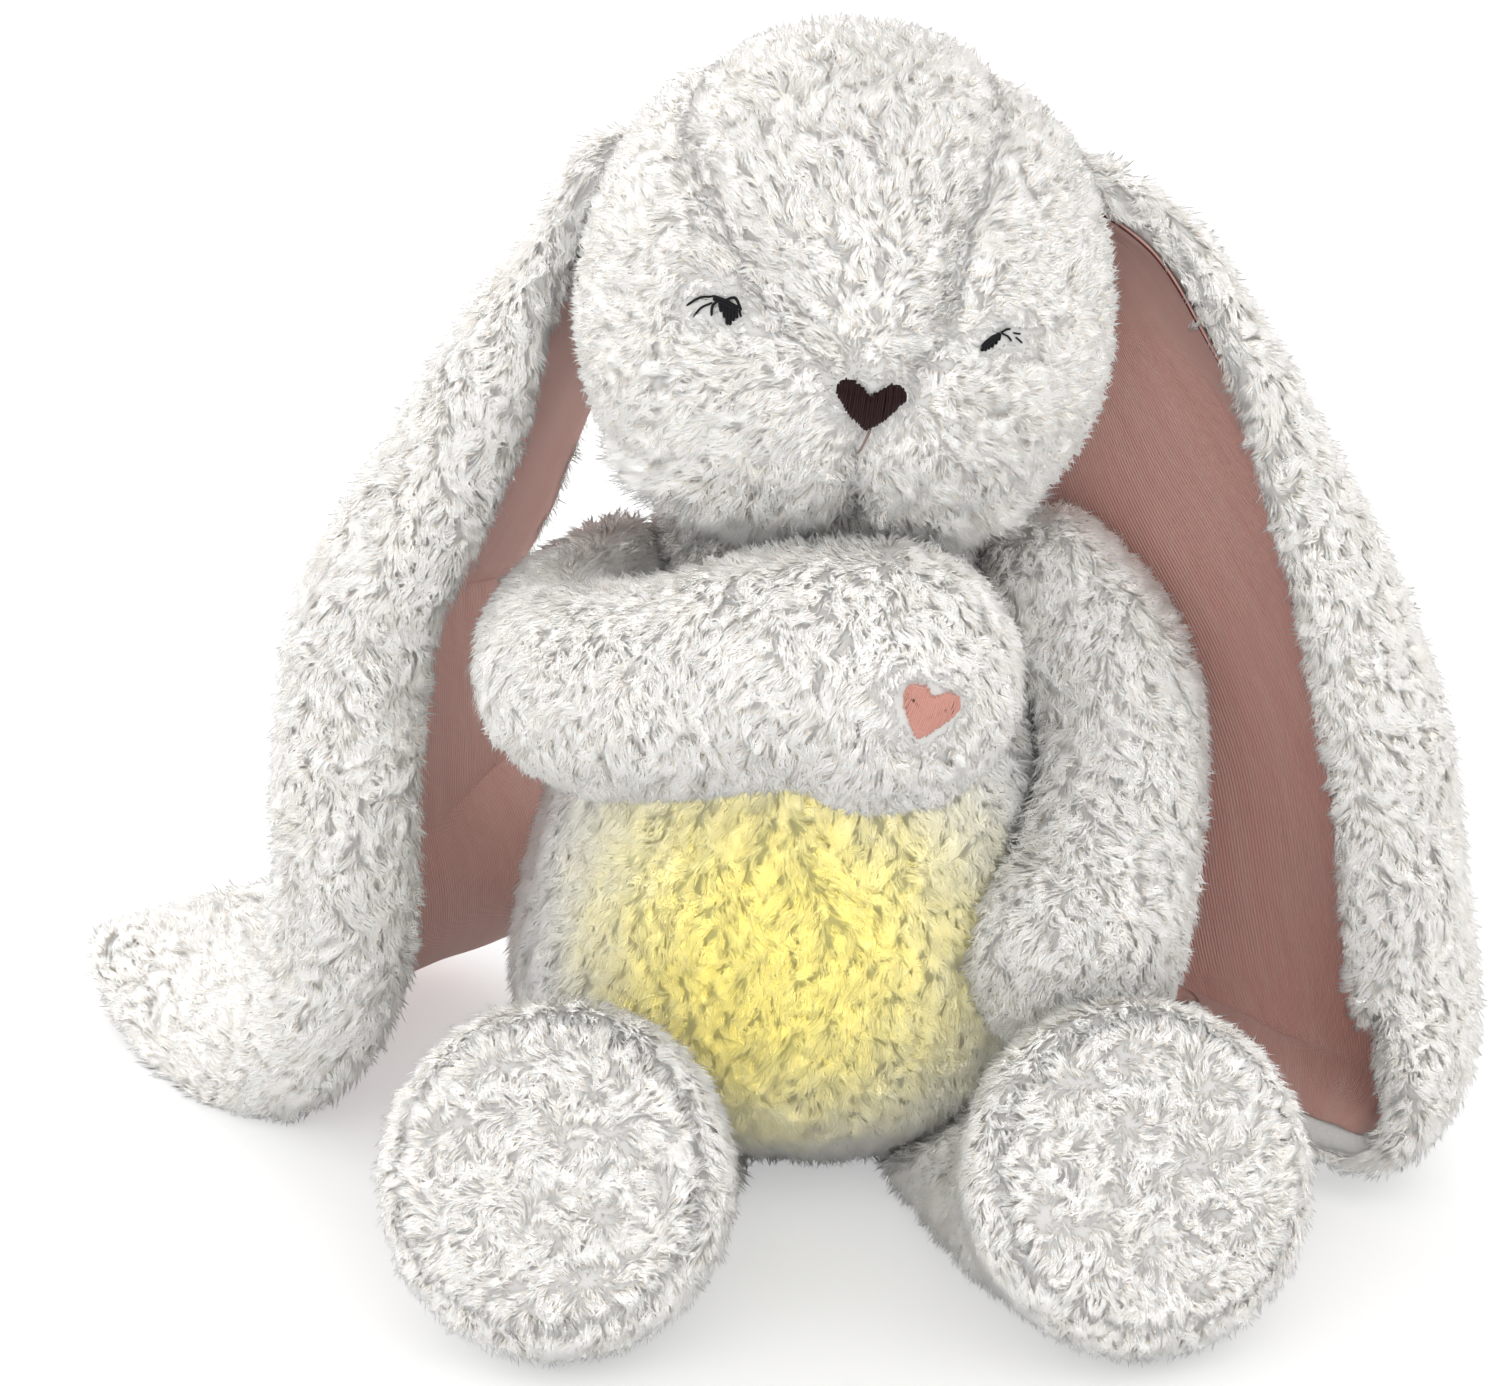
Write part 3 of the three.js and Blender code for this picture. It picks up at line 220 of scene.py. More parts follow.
class RabbitColours(bpy.types.PropertyGroup):
    """Colours of the rabbit's cloth and threads."""

    pile_bright: shade("Bright pile", "Colour of most of the pile", (0.905, 0.9, 0.89))
    pile_warm: shade("Warm pile", "Colour of the warmer locks", (0.87, 0.85, 0.82))
    # Painted shade: the darker colour on the halves of the locks near their roots
    pile_painted_shade: shade("Deep pile", "Colour of the locks near their roots", (0.84, 0.8, 0.745))
    # Partly the cloth's own colour, partly painted shade: a little darker than the pile, so the gaps between the
    # locks look shaded
    root: shade("Root", "Colour of the cloth under the pile", (0.86, 0.85, 0.83))
    lining: shade("Lining", "Colour of the ears' lining", (0.95, 0.49, 0.425))
    # Painted sheen: paler streaks painted where the satin would catch the light
    lining_painted_sheen: shade("Lining streaks", "Paler streaks of the lining", (1.0, 0.62, 0.54))
    lining_dark: shade("Lining ribs", "Shade between the lining's ribs", (0.6, 0.51, 0.48))
    seam: shade("Seam", "Thread along the lining's rims", (0.14, 0.05, 0.045))
    # Painted light: the pile is white, and this yellow stands in for the lamp behind the belly shining through it
    glow: shade("Glow", "Colour of the lit belly", (0.88, 0.81, 0.34))
    light: shade("Light", "Colour of the light itself", (1.0, 0.9, 0.36))
    nose: shade("Nose", "Thread of the nose", (0.024, 0.007, 0.007))
    mouth: shade("Mouth", "Thread of the mouth", (0.3, 0.22, 0.19))
    eyes: shade("Eyes", "Thread of the eyes", (0.006, 0.006, 0.008))
    heart: shade("Heart", "Thread of the paw's heart", (0.72, 0.37, 0.31))


def colour(name):
    return (*getattr(bpy.context.scene.rabbit_colours, name), 1.0)


# Numbers
def steps(start, end, at):
    """A smooth step from 0 at start to 1 at end, for arrays."""
    share = np.clip((at - start) / (end - start), 0, 1)
    return share * share * (3 - 2 * share)


def unit(vectors):
    return vectors / np.maximum(np.linalg.norm(vectors, axis=-1, keepdims=True), 1e-12)


def waves(points, length, seed, count=6):
    """A smooth random field from about -1 to 1, whose swells are about one length apart."""
    rng = np.random.default_rng(seed)
    ways = unit(rng.normal(size=(count, 3))) * (2 * math.pi / length) * rng.uniform(0.6, 1.3, (count, 1))
    return np.sin(points @ ways.T + rng.uniform(0, 2 * math.pi, count)).sum(1) / math.sqrt(count)


def cubic(low, rise, leave, arrive, u):
    """The share u of a smooth curve that starts at low, rises by rise and has these slopes at its two ends."""
    return low + u * (leave + u * (3 * rise - 2 * leave - arrive + u * (leave + arrive - 2 * rise)))


def read_shares(rows, at):
    """Reads a table of shares at one place along it, on a smooth curve through its rows."""
    k = 1
    while k < len(rows) - 1 and at > rows[k][0]:
        k += 1
    before, low, high, after = (np.array(rows[min(max(k + j, 0), len(rows) - 1)], float) for j in (-2, -1, 0, 1))
    span = high[0] - low[0]
    leave = (high - before) * span / (high[0] - before[0])
    arrive = (after - low) * span / (after[0] - low[0])
    return cubic(low, high - low, leave, arrive, (at - low[0]) / span)[1:]


def curve_point(stops, share):
    """A point on the centripetal curve through some stops."""
    last = len(stops) - 1
    place = min(max(share, 0.0), 1.0) * last
    k = min(int(place), last - 1)
    u = place - k
    one, two = stops[k], stops[k + 1]
    zero = stops[k - 1] if k else one * 2 - two
    three = stops[k + 2] if k + 2 <= last else two * 2 - one
    gaps = [max(np.linalg.norm(b - a), 1e-9) ** 0.5 for a, b in ((zero, one), (one, two), (two, three))]
    leave = ((one - zero) / gaps[0] - (two - zero) / (gaps[0] + gaps[1]) + (two - one) / gaps[1]) * gaps[1]
    arrive = ((two - one) / gaps[1] - (three - one) / (gaps[1] + gaps[2]) + (three - two) / gaps[2]) * gaps[1]
    return cubic(one, two - one, leave, arrive, u)


def curve_through(stops, count):
    stops = [np.asarray(stop, float) for stop in stops]
    return np.array([curve_point(stops, share) for share in np.linspace(0, 1, count)])


def eased(count):
    """Shares from 0 to 1 that lie closer together near both ends."""
    return (1 - np.cos(np.linspace(0, math.pi, count))) / 2


# Meshes
def new_mesh(name, points, faces):
    """Makes a mesh object from arrays: points, and faces that all have one count of corners."""
    mesh = bpy.data.meshes.new(name)
    corners = faces.shape[1]
    mesh.vertices.add(len(points))
    mesh.vertices.foreach_set("co", np.asarray(points, np.float32).ravel())
    mesh.loops.add(faces.size)
    mesh.loops.foreach_set("vertex_index", faces.astype(np.int32).ravel())
    mesh.polygons.add(len(faces))
    mesh.polygons.foreach_set("loop_start", np.arange(0, faces.size, corners, dtype=np.int32))
    mesh.update(calc_edges=True)
    mesh.polygons.foreach_set("use_smooth", np.full(len(faces), True))
    piece = bpy.data.objects.new(name, mesh)
    bpy.context.scene.collection.objects.link(piece)
    return piece


def apply_modifiers(piece):
    graph = bpy.context.evaluated_depsgraph_get()
    mesh = bpy.data.meshes.new_from_object(piece.evaluated_get(graph))
    piece.modifiers.clear()
    piece.data = mesh


def read_rows(items, key, kind=np.float32, width=3):
    """One value of every item of a mesh, as the rows of an array."""
    values = np.empty(len(items) * width, kind)
    items.foreach_get(key, values)
    return values.reshape(-1, width)


def points_of(piece):
    return read_rows(piece.data.vertices, "co").astype(float)


def normals_of(piece):
    return read_rows(piece.data.vertex_normals, "vector").astype(float)


def triangles_of(piece):
    piece.data.calc_loop_triangles()
    return read_rows(piece.data.loop_triangles, "vertices", np.int32)


def stuffed_skin(node, voxel=2.2 * MM, rounds=12, depth=None, moved=None, kept=0.6 * MM):
    """The cloth under the pile: the soft solid of a node, rounded and drawn in by the depth of the pile."""
    depth = depth or bpy.context.scene.rabbit_pile.depth
    skin = bpy.data.objects.new(f"{node}_skin", frame["nodes"][node].data.copy())
    bpy.context.scene.collection.objects.link(skin)
    remesh = skin.modifiers.new("remesh", "REMESH")
    remesh.mode, remesh.voxel_size, remesh.use_smooth_shade = "VOXEL", voxel, True
    smooth = skin.modifiers.new("smooth", "SMOOTH")
    smooth.factor, smooth.iterations = 0.6, rounds
    apply_modifiers(skin)
    points, normals = points_of(skin), normals_of(skin)
    inwards = depth * (moved(points) if moved else np.ones(len(points)))
    walls = tree_of(skin)
    for k, (point, normal) in enumerate(zip(points, normals)):
        far = walls.ray_cast(Vector(point - normal * 0.2 * MM), Vector(-normal), 4 * depth + 2 * MM)[3]
        if far is not None:
            inwards[k] = min(inwards[k], max(far / 2 - kept, 0))
    place_points(skin, points - normals * inwards[:, None])
    return skin


def place_points(piece, points):
    piece.data.vertices.foreach_set("co", points.astype(np.float32).ravel())
    piece.data.update()


def tree_of(piece):
    return BVHTree.FromObject(piece, bpy.context.evaluated_depsgraph_get())


def node_tree(node):
    return tree_of(frame["nodes"][node])


class Line:
    """A line of close points, to find how far off and in which direction it is."""

    def __init__(self, points):
        self.points = np.asarray(points)
        self.finder = KDTree(len(points))
        for k, point in enumerate(self.points):
            self.finder.insert(point, k)
        self.finder.balance()

    def nearest(self, points):
        return np.array([self.finder.find(point)[1] for point in points])

    def away(self, points):
        """For each point, the way from the nearest point of the line to it."""
        return points - self.points[self.nearest(points)]

    def off(self, points):
        """How far each point is from the line."""
        return np.linalg.norm(self.away(points), axis=1)

    def moved(self, points):
        """How much of its depth a skin is drawn in by: less under the line's stitches."""
        return 0.35 + 0.65 * steps(1.5 * MM, 6 * MM, self.off(points))


def crease(skin, line, depth, width, starts=0.0):
    """Draws a skin in along a seam, from a share of the seam's length onwards."""
    points = points_of(skin)
    nearest = line.nearest(points)
    off = np.linalg.norm(points - line.points[nearest], axis=1)
    deep = depth * np.exp(-((off / width) ** 2)) * steps(starts, starts + 0.2, nearest / len(line.points))
    place_points(skin, points - normals_of(skin) * deep[:, None])


def closed_rings(name, rings):
    """A closed body from rings of points, all with one count, with a flat cap at each end."""
    count, sides = rings.shape[:2]
    points = np.concatenate([rings.reshape(-1, 3), rings[0].mean(0)[None], rings[-1].mean(0)[None]])
    side = np.arange(sides)
    beside = (side + 1) % sides
    last, middle = (count - 1) * sides, side * 0 + count * sides
    caps = [np.stack([middle, beside, side], 1), np.stack([middle + 1, last + side, last + beside], 1)]
    piece = new_mesh(name, points, np.concatenate([tube_faces(count, sides), *caps]))
    face_outwards(piece)
    return piece


def face_outwards(piece):
    made = bmesh.new()
    made.from_mesh(piece.data)
    bmesh.ops.recalc_face_normals(made, faces=made.faces)
    made.to_mesh(piece.data)
    made.free()


# Pile
def scatter(skin, spacing, rng, keep=None, carried=None):
    """Places about one spacing apart all over a skin, with the normal and any carried values there."""
    points, normals, triangles = points_of(skin), normals_of(skin), triangles_of(skin)
    a, b, c = (points[triangles[:, k]] for k in range(3))
    areas = np.linalg.norm(np.cross(b - a, c - a), axis=1) / 2
    count = int(areas.sum() / spacing**2 * 3)
    chosen = rng.choice(len(triangles), count, p=areas / areas.sum())
    u, v = rng.random((2, count))
    over = u + v > 1
    u[over], v[over] = 1 - u[over], 1 - v[over]
    weights = np.stack([1 - u - v, u, v], 1)[:, :, None]
    spots = (points[triangles[chosen]] * weights).sum(1)
    cells = np.floor(spots / spacing).astype(np.int64)
    first = np.sort(np.unique(cells, axis=0, return_index=True)[1])
    chosen, weights, spots = chosen[first], weights[first], spots[first]
    facing = unit((normals[triangles[chosen]] * weights).sum(1))
    values = spots * 0 if carried is None else (carried[triangles[chosen]] * weights).sum(1)
    held = keep(spots, facing) if keep else np.full(len(spots), True)
    return spots[held], facing[held], values[held]


def gather(spots, tips, size, seed):
    """The middle of the tips of each clump: locks whose roots share a warped cell gather there."""
    warped = spots + size * 0.7 * np.stack([waves(spots, size * 3.1, seed + k) for k in range(3)], 1)
    cells = np.unique(np.floor(warped / size).astype(np.int64), axis=0, return_inverse=True)[1].ravel()
    counts = np.bincount(cells)
    return np.stack([np.bincount(cells, tips[:, k]) / counts for k in range(3)], 1)[cells], cells


def locks(name, spots, facing, flow, seed, length_share, lift):
    """Fine curled locks that leave the skin, lean along the flow and gather in tufts."""
    pile = bpy.context.scene.rabbit_pile
    rng = np.random.default_rng(seed)
    count = len(spots)
    length = pile.length * np.reshape(length_share, (-1, 1)) * rng.uniform(0.75, 1.2, (count, 1))
    leaning = unit(flow - (flow * facing).sum(1, keepdims=True) * facing)
    cells = gather(spots, spots, pile.clump, seed)[1]
    tufts = cells.max() + 1
    twist = rng.normal(0, 0.5, tufts)[cells] + rng.normal(0, 0.25, count)
    twist += 0.45 * waves(spots, 26 * MM, seed + 11) + 0.45 * waves(spots, 9 * MM, seed + 12)
    side = np.cross(facing, leaning)
    way = leaning * np.cos(twist)[:, None] + side * np.sin(twist)[:, None]
    rise = lift * rng.uniform(0.7, 1.3, tufts)[cells] * (1 + 0.3 * waves(spots, 8 * MM, seed + 13))
    stray = rng.random(count)
    raised = [rise + STRAY_RISE, rise + RAISED_RISE]
    rise = np.select([stray < STRAY_SHARE, stray < RAISED_SHARE], raised, np.maximum(rise, 0.08))[:, None]
    bend = rng.normal(0, 0.7 * MM, tufts)[cells] + rng.normal(0, 0.3 * MM, count)
    root = spots - facing * 0.3 * MM
    middle = root + unit(facing * (rise + 0.12) + way * 0.9) * length * 0.5
    tip = middle + unit(facing * rise * 0.35 + way) * length * 0.5
    centre = gather(spots, tip, pile.clump, seed)[0]
    drawn = np.where(stray < STRAY_SHARE, STRAY_GATHERED, GATHERED)[:, None]
    middle = middle + (centre - tip) * drawn * 0.27 + side * bend[:, None]
    tip = tip + (centre - tip) * drawn
    width = pile.width * rng.uniform(0.75, 1.25, (count, 1)) / 2
    along = unit(tip - root)
    across = unit(np.cross(along, facing))
    over = np.cross(across, along)
    ring = root * (1 - WIDEST) ** 2 + 2 * middle * WIDEST * (1 - WIDEST) + tip * WIDEST**2
    points = [root]
    for angle in (math.pi / 2, math.pi * 7 / 6, math.pi * 11 / 6):
        out = across * math.cos(angle) + over * math.sin(angle) * LOCK_THICKNESS
        points.append(ring + out * width)
    points = np.stack([*points, tip], 1)
    points[..., 2] = np.maximum(points[..., 2], PILE_FLOOR)
    faces = (LOCK_FACES[None] + (np.arange(count) * points.shape[1])[:, None, None]).reshape(-1, 3)
    piece = new_mesh(name, points.reshape(-1, 3), faces)
    seen = facing * np.where(facing[:, 2:] < 0, (1, 1, 0.4), (1, 1, 1))
    soften(piece, points[:, LOCK_FACES], unit(seen)[:, None], pile.crisp)
    return piece


def soften(piece, corners, facing, crisp):
    """Shades the outer sides of the locks much as the cloth under them, and their undersides as they are."""
    own = unit(np.cross(corners[:, :, 1] - corners[:, :, 0], corners[:, :, 2] - corners[:, :, 0]))
    upper = steps(-0.15, 0.35, (own * facing).sum(-1, keepdims=True))
    shading = np.repeat(unit(own * (1 - upper * (1 - crisp)) + facing * upper).reshape(-1, 3), 3, axis=0)
    normals = piece.data.attributes.new("custom_normal", "FLOAT_VECTOR", "CORNER")
    normals.data.foreach_set("vector", shading.astype(np.float32).ravel())
    piece.data.update()


def tube_faces(rings, sides):
    """The triangles between each ring of points and the next."""
    near = np.arange((rings - 1) * sides)
    beside = near // sides * sides + (near + 1) % sides
    corners = np.stack([near, beside, beside + sides, near, beside + sides, near + sides], 1)
    return corners.reshape(-1, 3)


def sewn_threads(name, lines, sides=6):
    """Threads as closed round tubes: each line is its radius and the points that it runs through."""
    turns = (2 * math.pi * np.arange(sides) / sides)[:, None]
    cap = np.array([(0, turn + 1, turn) for turn in range(1, sides - 1)])
    points, faces, start = [], [], 0
    for radius, line in lines:
        along = unit(np.gradient(line, axis=0))
        across = unit(np.cross(along, [0.31, 0.22, 0.93]))
        over = np.cross(across, along)
        slim = np.full((len(line), 1, 1), radius)
        slim[[0, -1]] *= 0.55
        ring = across[:, None] * np.cos(turns) + over[:, None] * np.sin(turns)
        points.append((line[:, None] + ring * slim).reshape(-1, 3))
        last = start + (len(line) - 1) * sides
        faces += [start + tube_faces(len(line), sides), start + cap, last + cap[:, ::-1]]
        start = last + sides
    piece = new_mesh(name, np.concatenate(points), np.concatenate(faces))
    face_outwards(piece)
    return piece


def heart_outline(width, height, notch):
    """The outline of a plain heart about its middle, with its notch at a share of its height."""
    left = (((0, -0.5), (-0.25, -0.4), (-0.9, -0.02), (-1, 0.25)),
            ((-1, 0.25), (-1, 0.56), (-0.42, 0.56), (0, notch)))
    right = [[(-x, z) for x, z in bow[::-1]] for bow in left[::-1]]
    outline = []
    for bow in (*left, *right):
        a, b, c, d = np.array(bow) * (width / 2, height)
        for t in np.linspace(0, 1, 16, endpoint=False):
            outline.append(a * (1 - t) ** 3 + 3 * b * t * (1 - t) ** 2 + 3 * c * t * t * (1 - t) + d * t**3)
    return np.array(outline)


def satin_rows(outline, pitch, rng, ragged=0.28):
    """Upright stitches that fill an outline: each its two ends, for each place across it."""
    rows = []
    ends = np.roll(outline, -1, axis=0)
    low, high = outline[:, 0].min(), outline[:, 0].max()
    for x in np.arange(low + pitch * 0.6, high - pitch * 0.4, pitch):
        cuts = sorted(z0 + (z1 - z0) * (x - x0) / (x1 - x0)
                      for (x0, z0), (x1, z1) in zip(outline, ends) if (x0 - x) * (x1 - x) < 0)
        for bottom, top in zip(cuts[::2], cuts[1::2]):
            lean = rng.normal(0, 0.08)
            rows.append(((x - lean, top + rng.normal(0, ragged)), (x + lean, bottom + rng.normal(0, ragged))))
    return rows


def finish_piece(piece, body, materials, slot_name, *replaced):
    piece.data.materials.clear()
    for material in materials if isinstance(materials, tuple) else (materials,):
        piece.data.materials.append(material)
    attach(piece, body)
    if replaced:
        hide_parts(*replaced)


def stuffed(node, body, softness, look=None, **cut):
    """The skin of a stuffed piece, in place of its solid."""
    skin = stuffed_skin(node, **cut)
    finish_piece(skin, body, look or cloth_material(), "plush_pile", node)
    return skin


# Materials
def fill(tree, node, inputs):
    """Sets a node's inputs by name or place, each to a value or to another node's output."""
    for key, value in inputs.items():
        if isinstance(value, bpy.types.NodeSocket):
            tree.links.new(value, node.inputs[key])
        else:
            node.inputs[key].default_value = value


def add_node(tree, kind, inputs, **settings):
    node = tree.nodes.new(kind)
    for key, value in settings.items():
        setattr(node, key, value)
    fill(tree, node, inputs)
    return node


def new_material(name, base, roughness=0.9, **values):
    material = bpy.data.materials.new(name)
    material.use_nodes = True
    tree = material.node_tree
    shader = tree.nodes["Principled BSDF"]
    fill(tree, shader, {"Base Color": base, "Roughness": roughness, **values})
    return material, tree, shader


def pattern(tree, kind, scale, source="Object", stretch=(1, 1, 1), **values):
    """A texture node that reads object or UV coordinates, stretched along each axis."""
    place = tree.nodes.new("ShaderNodeTexCoord")
    mapping = add_node(tree, "ShaderNodeMapping", {"Scale": stretch, "Vector": place.outputs[source]})
    return add_node(tree, kind, {"Scale": scale, **values, "Vector": mapping.outputs["Vector"]})


def raise_by(tree, shader, height, distance, strength=1.0):
    """Adds a bump to a shader, over any bump that it already has."""
    bump = add_node(tree, "ShaderNodeBump", {"Distance": distance, "Strength": strength, "Height": height})
    if shader.inputs["Normal"].is_linked:
        fill(tree, bump, {"Normal": shader.inputs["Normal"].links[0].from_socket})
    fill(tree, shader, {"Normal": bump.outputs["Normal"]})


def mixed(tree, factor, low, high, blend="MIX"):
    """A colour between two, or where blend says so their product, by a factor."""
    colours = {"A": low, "B": high, "Factor": factor}
    return add_node(tree, "ShaderNodeMix", colours, data_type="RGBA", blend_type=blend).outputs["Result"]


def spread(tree, value, low, high, to_low=0.0, to_high=1.0, **settings):
    """Stretches a value that runs from low to high."""
    places = {"From Min": low, "From Max": high, "To Min": to_low, "To Max": to_high, "Value": value}
    return add_node(tree, "ShaderNodeMapRange", places, **settings).outputs["Result"]


def reckoned(tree, operation, *values):
    """The result of one calculation on numbers and outputs."""
    return add_node(tree, "ShaderNodeMath", dict(enumerate(values)), operation=operation).outputs["Value"]


def pile_shader(name, base):
    material, tree, shader = new_material(name, base, 0.95)
    shader.subsurface_method = "BURLEY"
    fill(tree, shader, {
        "Sheen Weight": 0.12, "Sheen Roughness": 0.45, "Specular IOR Level": 0.12, "Subsurface Weight": 1.0,
        "Subsurface Radius": (1.0, 0.98, 0.95), "Subsurface Scale": 3.6 * MM})
    hairs = pattern(tree, "ShaderNodeTexNoise", 1500, Detail=1.0)
    raise_by(tree, shader, hairs.outputs["Fac"], 0.3 * MM, 0.25)
    return material, tree, shader


def pile_materials():
    """Plain pile: bright locks, the warmer ones that lie among them, and a darker colour on the locks near their
    roots, which is painted shade.
    """
    names = ("pile_bright", "pile_warm", "pile_painted_shade")
    return tuple(bpy.data.materials.get(name) or pile_shader(name, colour(name))[0] for name in names)


def cloth_material():
    """The knitted cloth that the pile grows from, a little darker than the pile: partly its own colour, partly
    painted shade in the gaps between the locks.
    """
    known = bpy.data.materials.get("pile_cloth")
    if known:
        return known
    material, tree, shader = new_material("pile_cloth", colour("root"), 0.95)
    knit = pattern(tree, "ShaderNodeTexVoronoi", 900)
    raise_by(tree, shader, knit.outputs["Distance"], 0.4 * MM, 0.5)
    return material


def lit_pile_material():
    """Pile over the light, with painted light: a yellow colour and a faint glow near the dome stand in for the lamp
    shining through, fading into the plain pile.
    """
    material, tree, shader = pile_shader("pile_lit", colour("pile_bright"))
    place = tree.nodes.new("ShaderNodeTexCoord")
    away = add_node(
        tree, "ShaderNodeVectorMath", {0: place.outputs["Object"], 1: GLOW_PLACE}, operation="DISTANCE")
    ragged = pattern(tree, "ShaderNodeTexNoise", 110, Detail=2.0)
    wander = reckoned(tree, "MULTIPLY_ADD", ragged.outputs["Fac"], 16 * MM, away.outputs["Value"])
    fade = spread(tree, wander, GLOW_CORE + 8 * MM, GLOW_REACH + 8 * MM, 1, 0, interpolation_type="SMOOTHSTEP")
    # Painted light: the yellow colour and the glow are strongest near the dome
    fill(tree, shader, {
        "Base Color": mixed(tree, fade, colour("pile_bright"), colour("glow")),
        "Emission Color": colour("light"), "Emission Strength": reckoned(tree, "MULTIPLY", fade, 0.085)})
    return material


def thread_material(name, base, gloss=0.6):
    """Embroidery thread: twisted strands with a soft shine."""
    material, tree, shader = new_material(name, base, gloss, **{"Specular IOR Level": 0.25})
    strands = pattern(tree, "ShaderNodeTexNoise", 700, stretch=(3, 3, 0.8), Detail=2.0)
    raise_by(tree, shader, strands.outputs["Fac"], 0.15 * MM, 0.6)
    return material


def lining_material():
    """Ribbed satin: fine ribs run down it, with paler streaks of painted sheen where satin catches the light and
    painted shade between the ribs.
    """
    material, tree, shader = new_material("lining", colour("lining"), 0.5, **{
        "Sheen Weight": 0.7, "Sheen Roughness": 0.5, "Sheen Tint": (1, 0.85, 0.8, 1)})
    ribs = pattern(tree, "ShaderNodeTexWave", 390, "UV", Distortion=0.6, **{"Detail Scale": 0.4})
    streaks = pattern(tree, "ShaderNodeTexNoise", 1.0, "UV", (260, 22, 1), Detail=3.0)
    swells = pattern(tree, "ShaderNodeTexNoise", 1.0, "UV", (55, 16, 1), Detail=2.0)
    # Painted sheen in paler streaks, then painted shade between the ribs
    tone = mixed(tree, spread(tree, streaks.outputs["Fac"], 0.2, 0.9), colour("lining"), colour("lining_painted_sheen"))
    rows = mixed(tree, spread(tree, ribs.outputs["Fac"], -0.9, 1.0), colour("lining_dark"), (1, 1, 1, 1))
    fill(tree, shader, {"Base Color": mixed(tree, 0.45, tone, rows, "MULTIPLY")})
    raise_by(tree, shader, swells.outputs["Fac"], 1.6 * MM, 0.3)
    raise_by(tree, shader, ribs.outputs["Fac"], 0.35 * MM, 0.8)
    return material


def hard_material(name, base, roughness, metal=0.0, grain=0.15):
    """Moulded plastic or metal with a fine grain."""
    material, tree, shader = new_material(name, base, roughness, Metallic=metal)
    marks = pattern(tree, "ShaderNodeTexNoise", 900, stretch=(1, 1, 6 if metal else 1), Detail=3.0).outputs["Fac"]
    raise_by(tree, shader, marks, 0.1 * MM, grain)
    fill(tree, shader, {"Roughness": spread(tree, marks, 0.0, 1.0, roughness * 0.8, min(roughness * 1.25, 1))})
    return material


def board_material():
    """A green circuit board with paler tracks."""
    green = (0.01, 0.09, 0.03, 1)
    material, tree, shader = new_material("board", green, 0.35)
    tracks = pattern(
        tree, "ShaderNodeTexBrick", 140, Color1=green, Color2=(0.012, 0.11, 0.035, 1), Mortar=(0.03, 0.2, 0.08, 1))
    fill(tree, shader, {"Base Color": tracks.outputs["Color"]})
    raise_by(tree, shader, tracks.outputs["Fac"], 0.05 * MM)
    return material


def jacket_material():
    """A battery's printed jacket: dark with brighter bands."""
    material, tree, shader = new_material("jacket", (0.02, 0.06, 0.14, 1), 0.3, **{"Coat Weight": 0.5})
    bands = spread(tree, pattern(tree, "ShaderNodeTexNoise", 60, stretch=(1, 1, 0.1)).outputs["Fac"], 0.3, 0.7)
    fill(tree, shader, {"Base Color": mixed(tree, bands, (0.015, 0.05, 0.12, 1), (0.03, 0.09, 0.2, 1))})
    return material


def tape_material(name, scale, height):
    """Hook or loop tape: rows of small nubs on a woven band."""
    material, tree, shader = new_material(name, (0.78, 0.77, 0.75, 1), 0.8)
    nubs = pattern(tree, "ShaderNodeTexVoronoi", scale, Randomness=0.2)
    raise_by(tree, shader, nubs.outputs["Distance"], height)
    return material


def dress_node(nodes, material):
    """Gives frame pieces that keep their own shape a better material."""
    for node in nodes:
        slots = frame["nodes"][node].data.materials
        slots.clear()
        slots.append(material)


# Ears
def across_ear(share, width, turn, cup, lip):
    """One stop across an ear: out from its fold, forward, and the way it faces."""
    roll = EAR_ROLL_SHARE * width
    flat = width - roll - lip * width
    roll_radius = roll / turn
    cup_radius = flat / cup
    fold = roll_radius * math.sin(min(turn, math.pi / 2))
    along = share * width - flat
    if along <= 0:
        angle = -along / cup_radius
        return -cup_radius * math.sin(angle) - fold, cup_radius * (1 - math.cos(angle)), -angle
    angle = min(along / roll_radius, turn)
    beyond = max(along - roll, 0)
    out = roll_radius * math.sin(angle) - fold + beyond * math.cos(turn)
    return out, roll_radius * (1 - math.cos(angle)) + beyond * math.sin(turn), angle


def ear_root(name):
    joint = next(j for j in frame["joints"] if j["name"] == f"ear_{name}_lift")
    return np.array(joint["pos_m"])


def ear_end(t):
    """How round an ear is near its root and its tip: 1 along it, falling to 0 at either end."""
    near_root = max(0.0, 1 - t / ROOT_SHARE)
    near_tip = max(0.0, 1 - (1 - t) / END_SHARE)
    return math.sqrt(max(0.0, 1 - max(near_root, near_tip) ** 2))


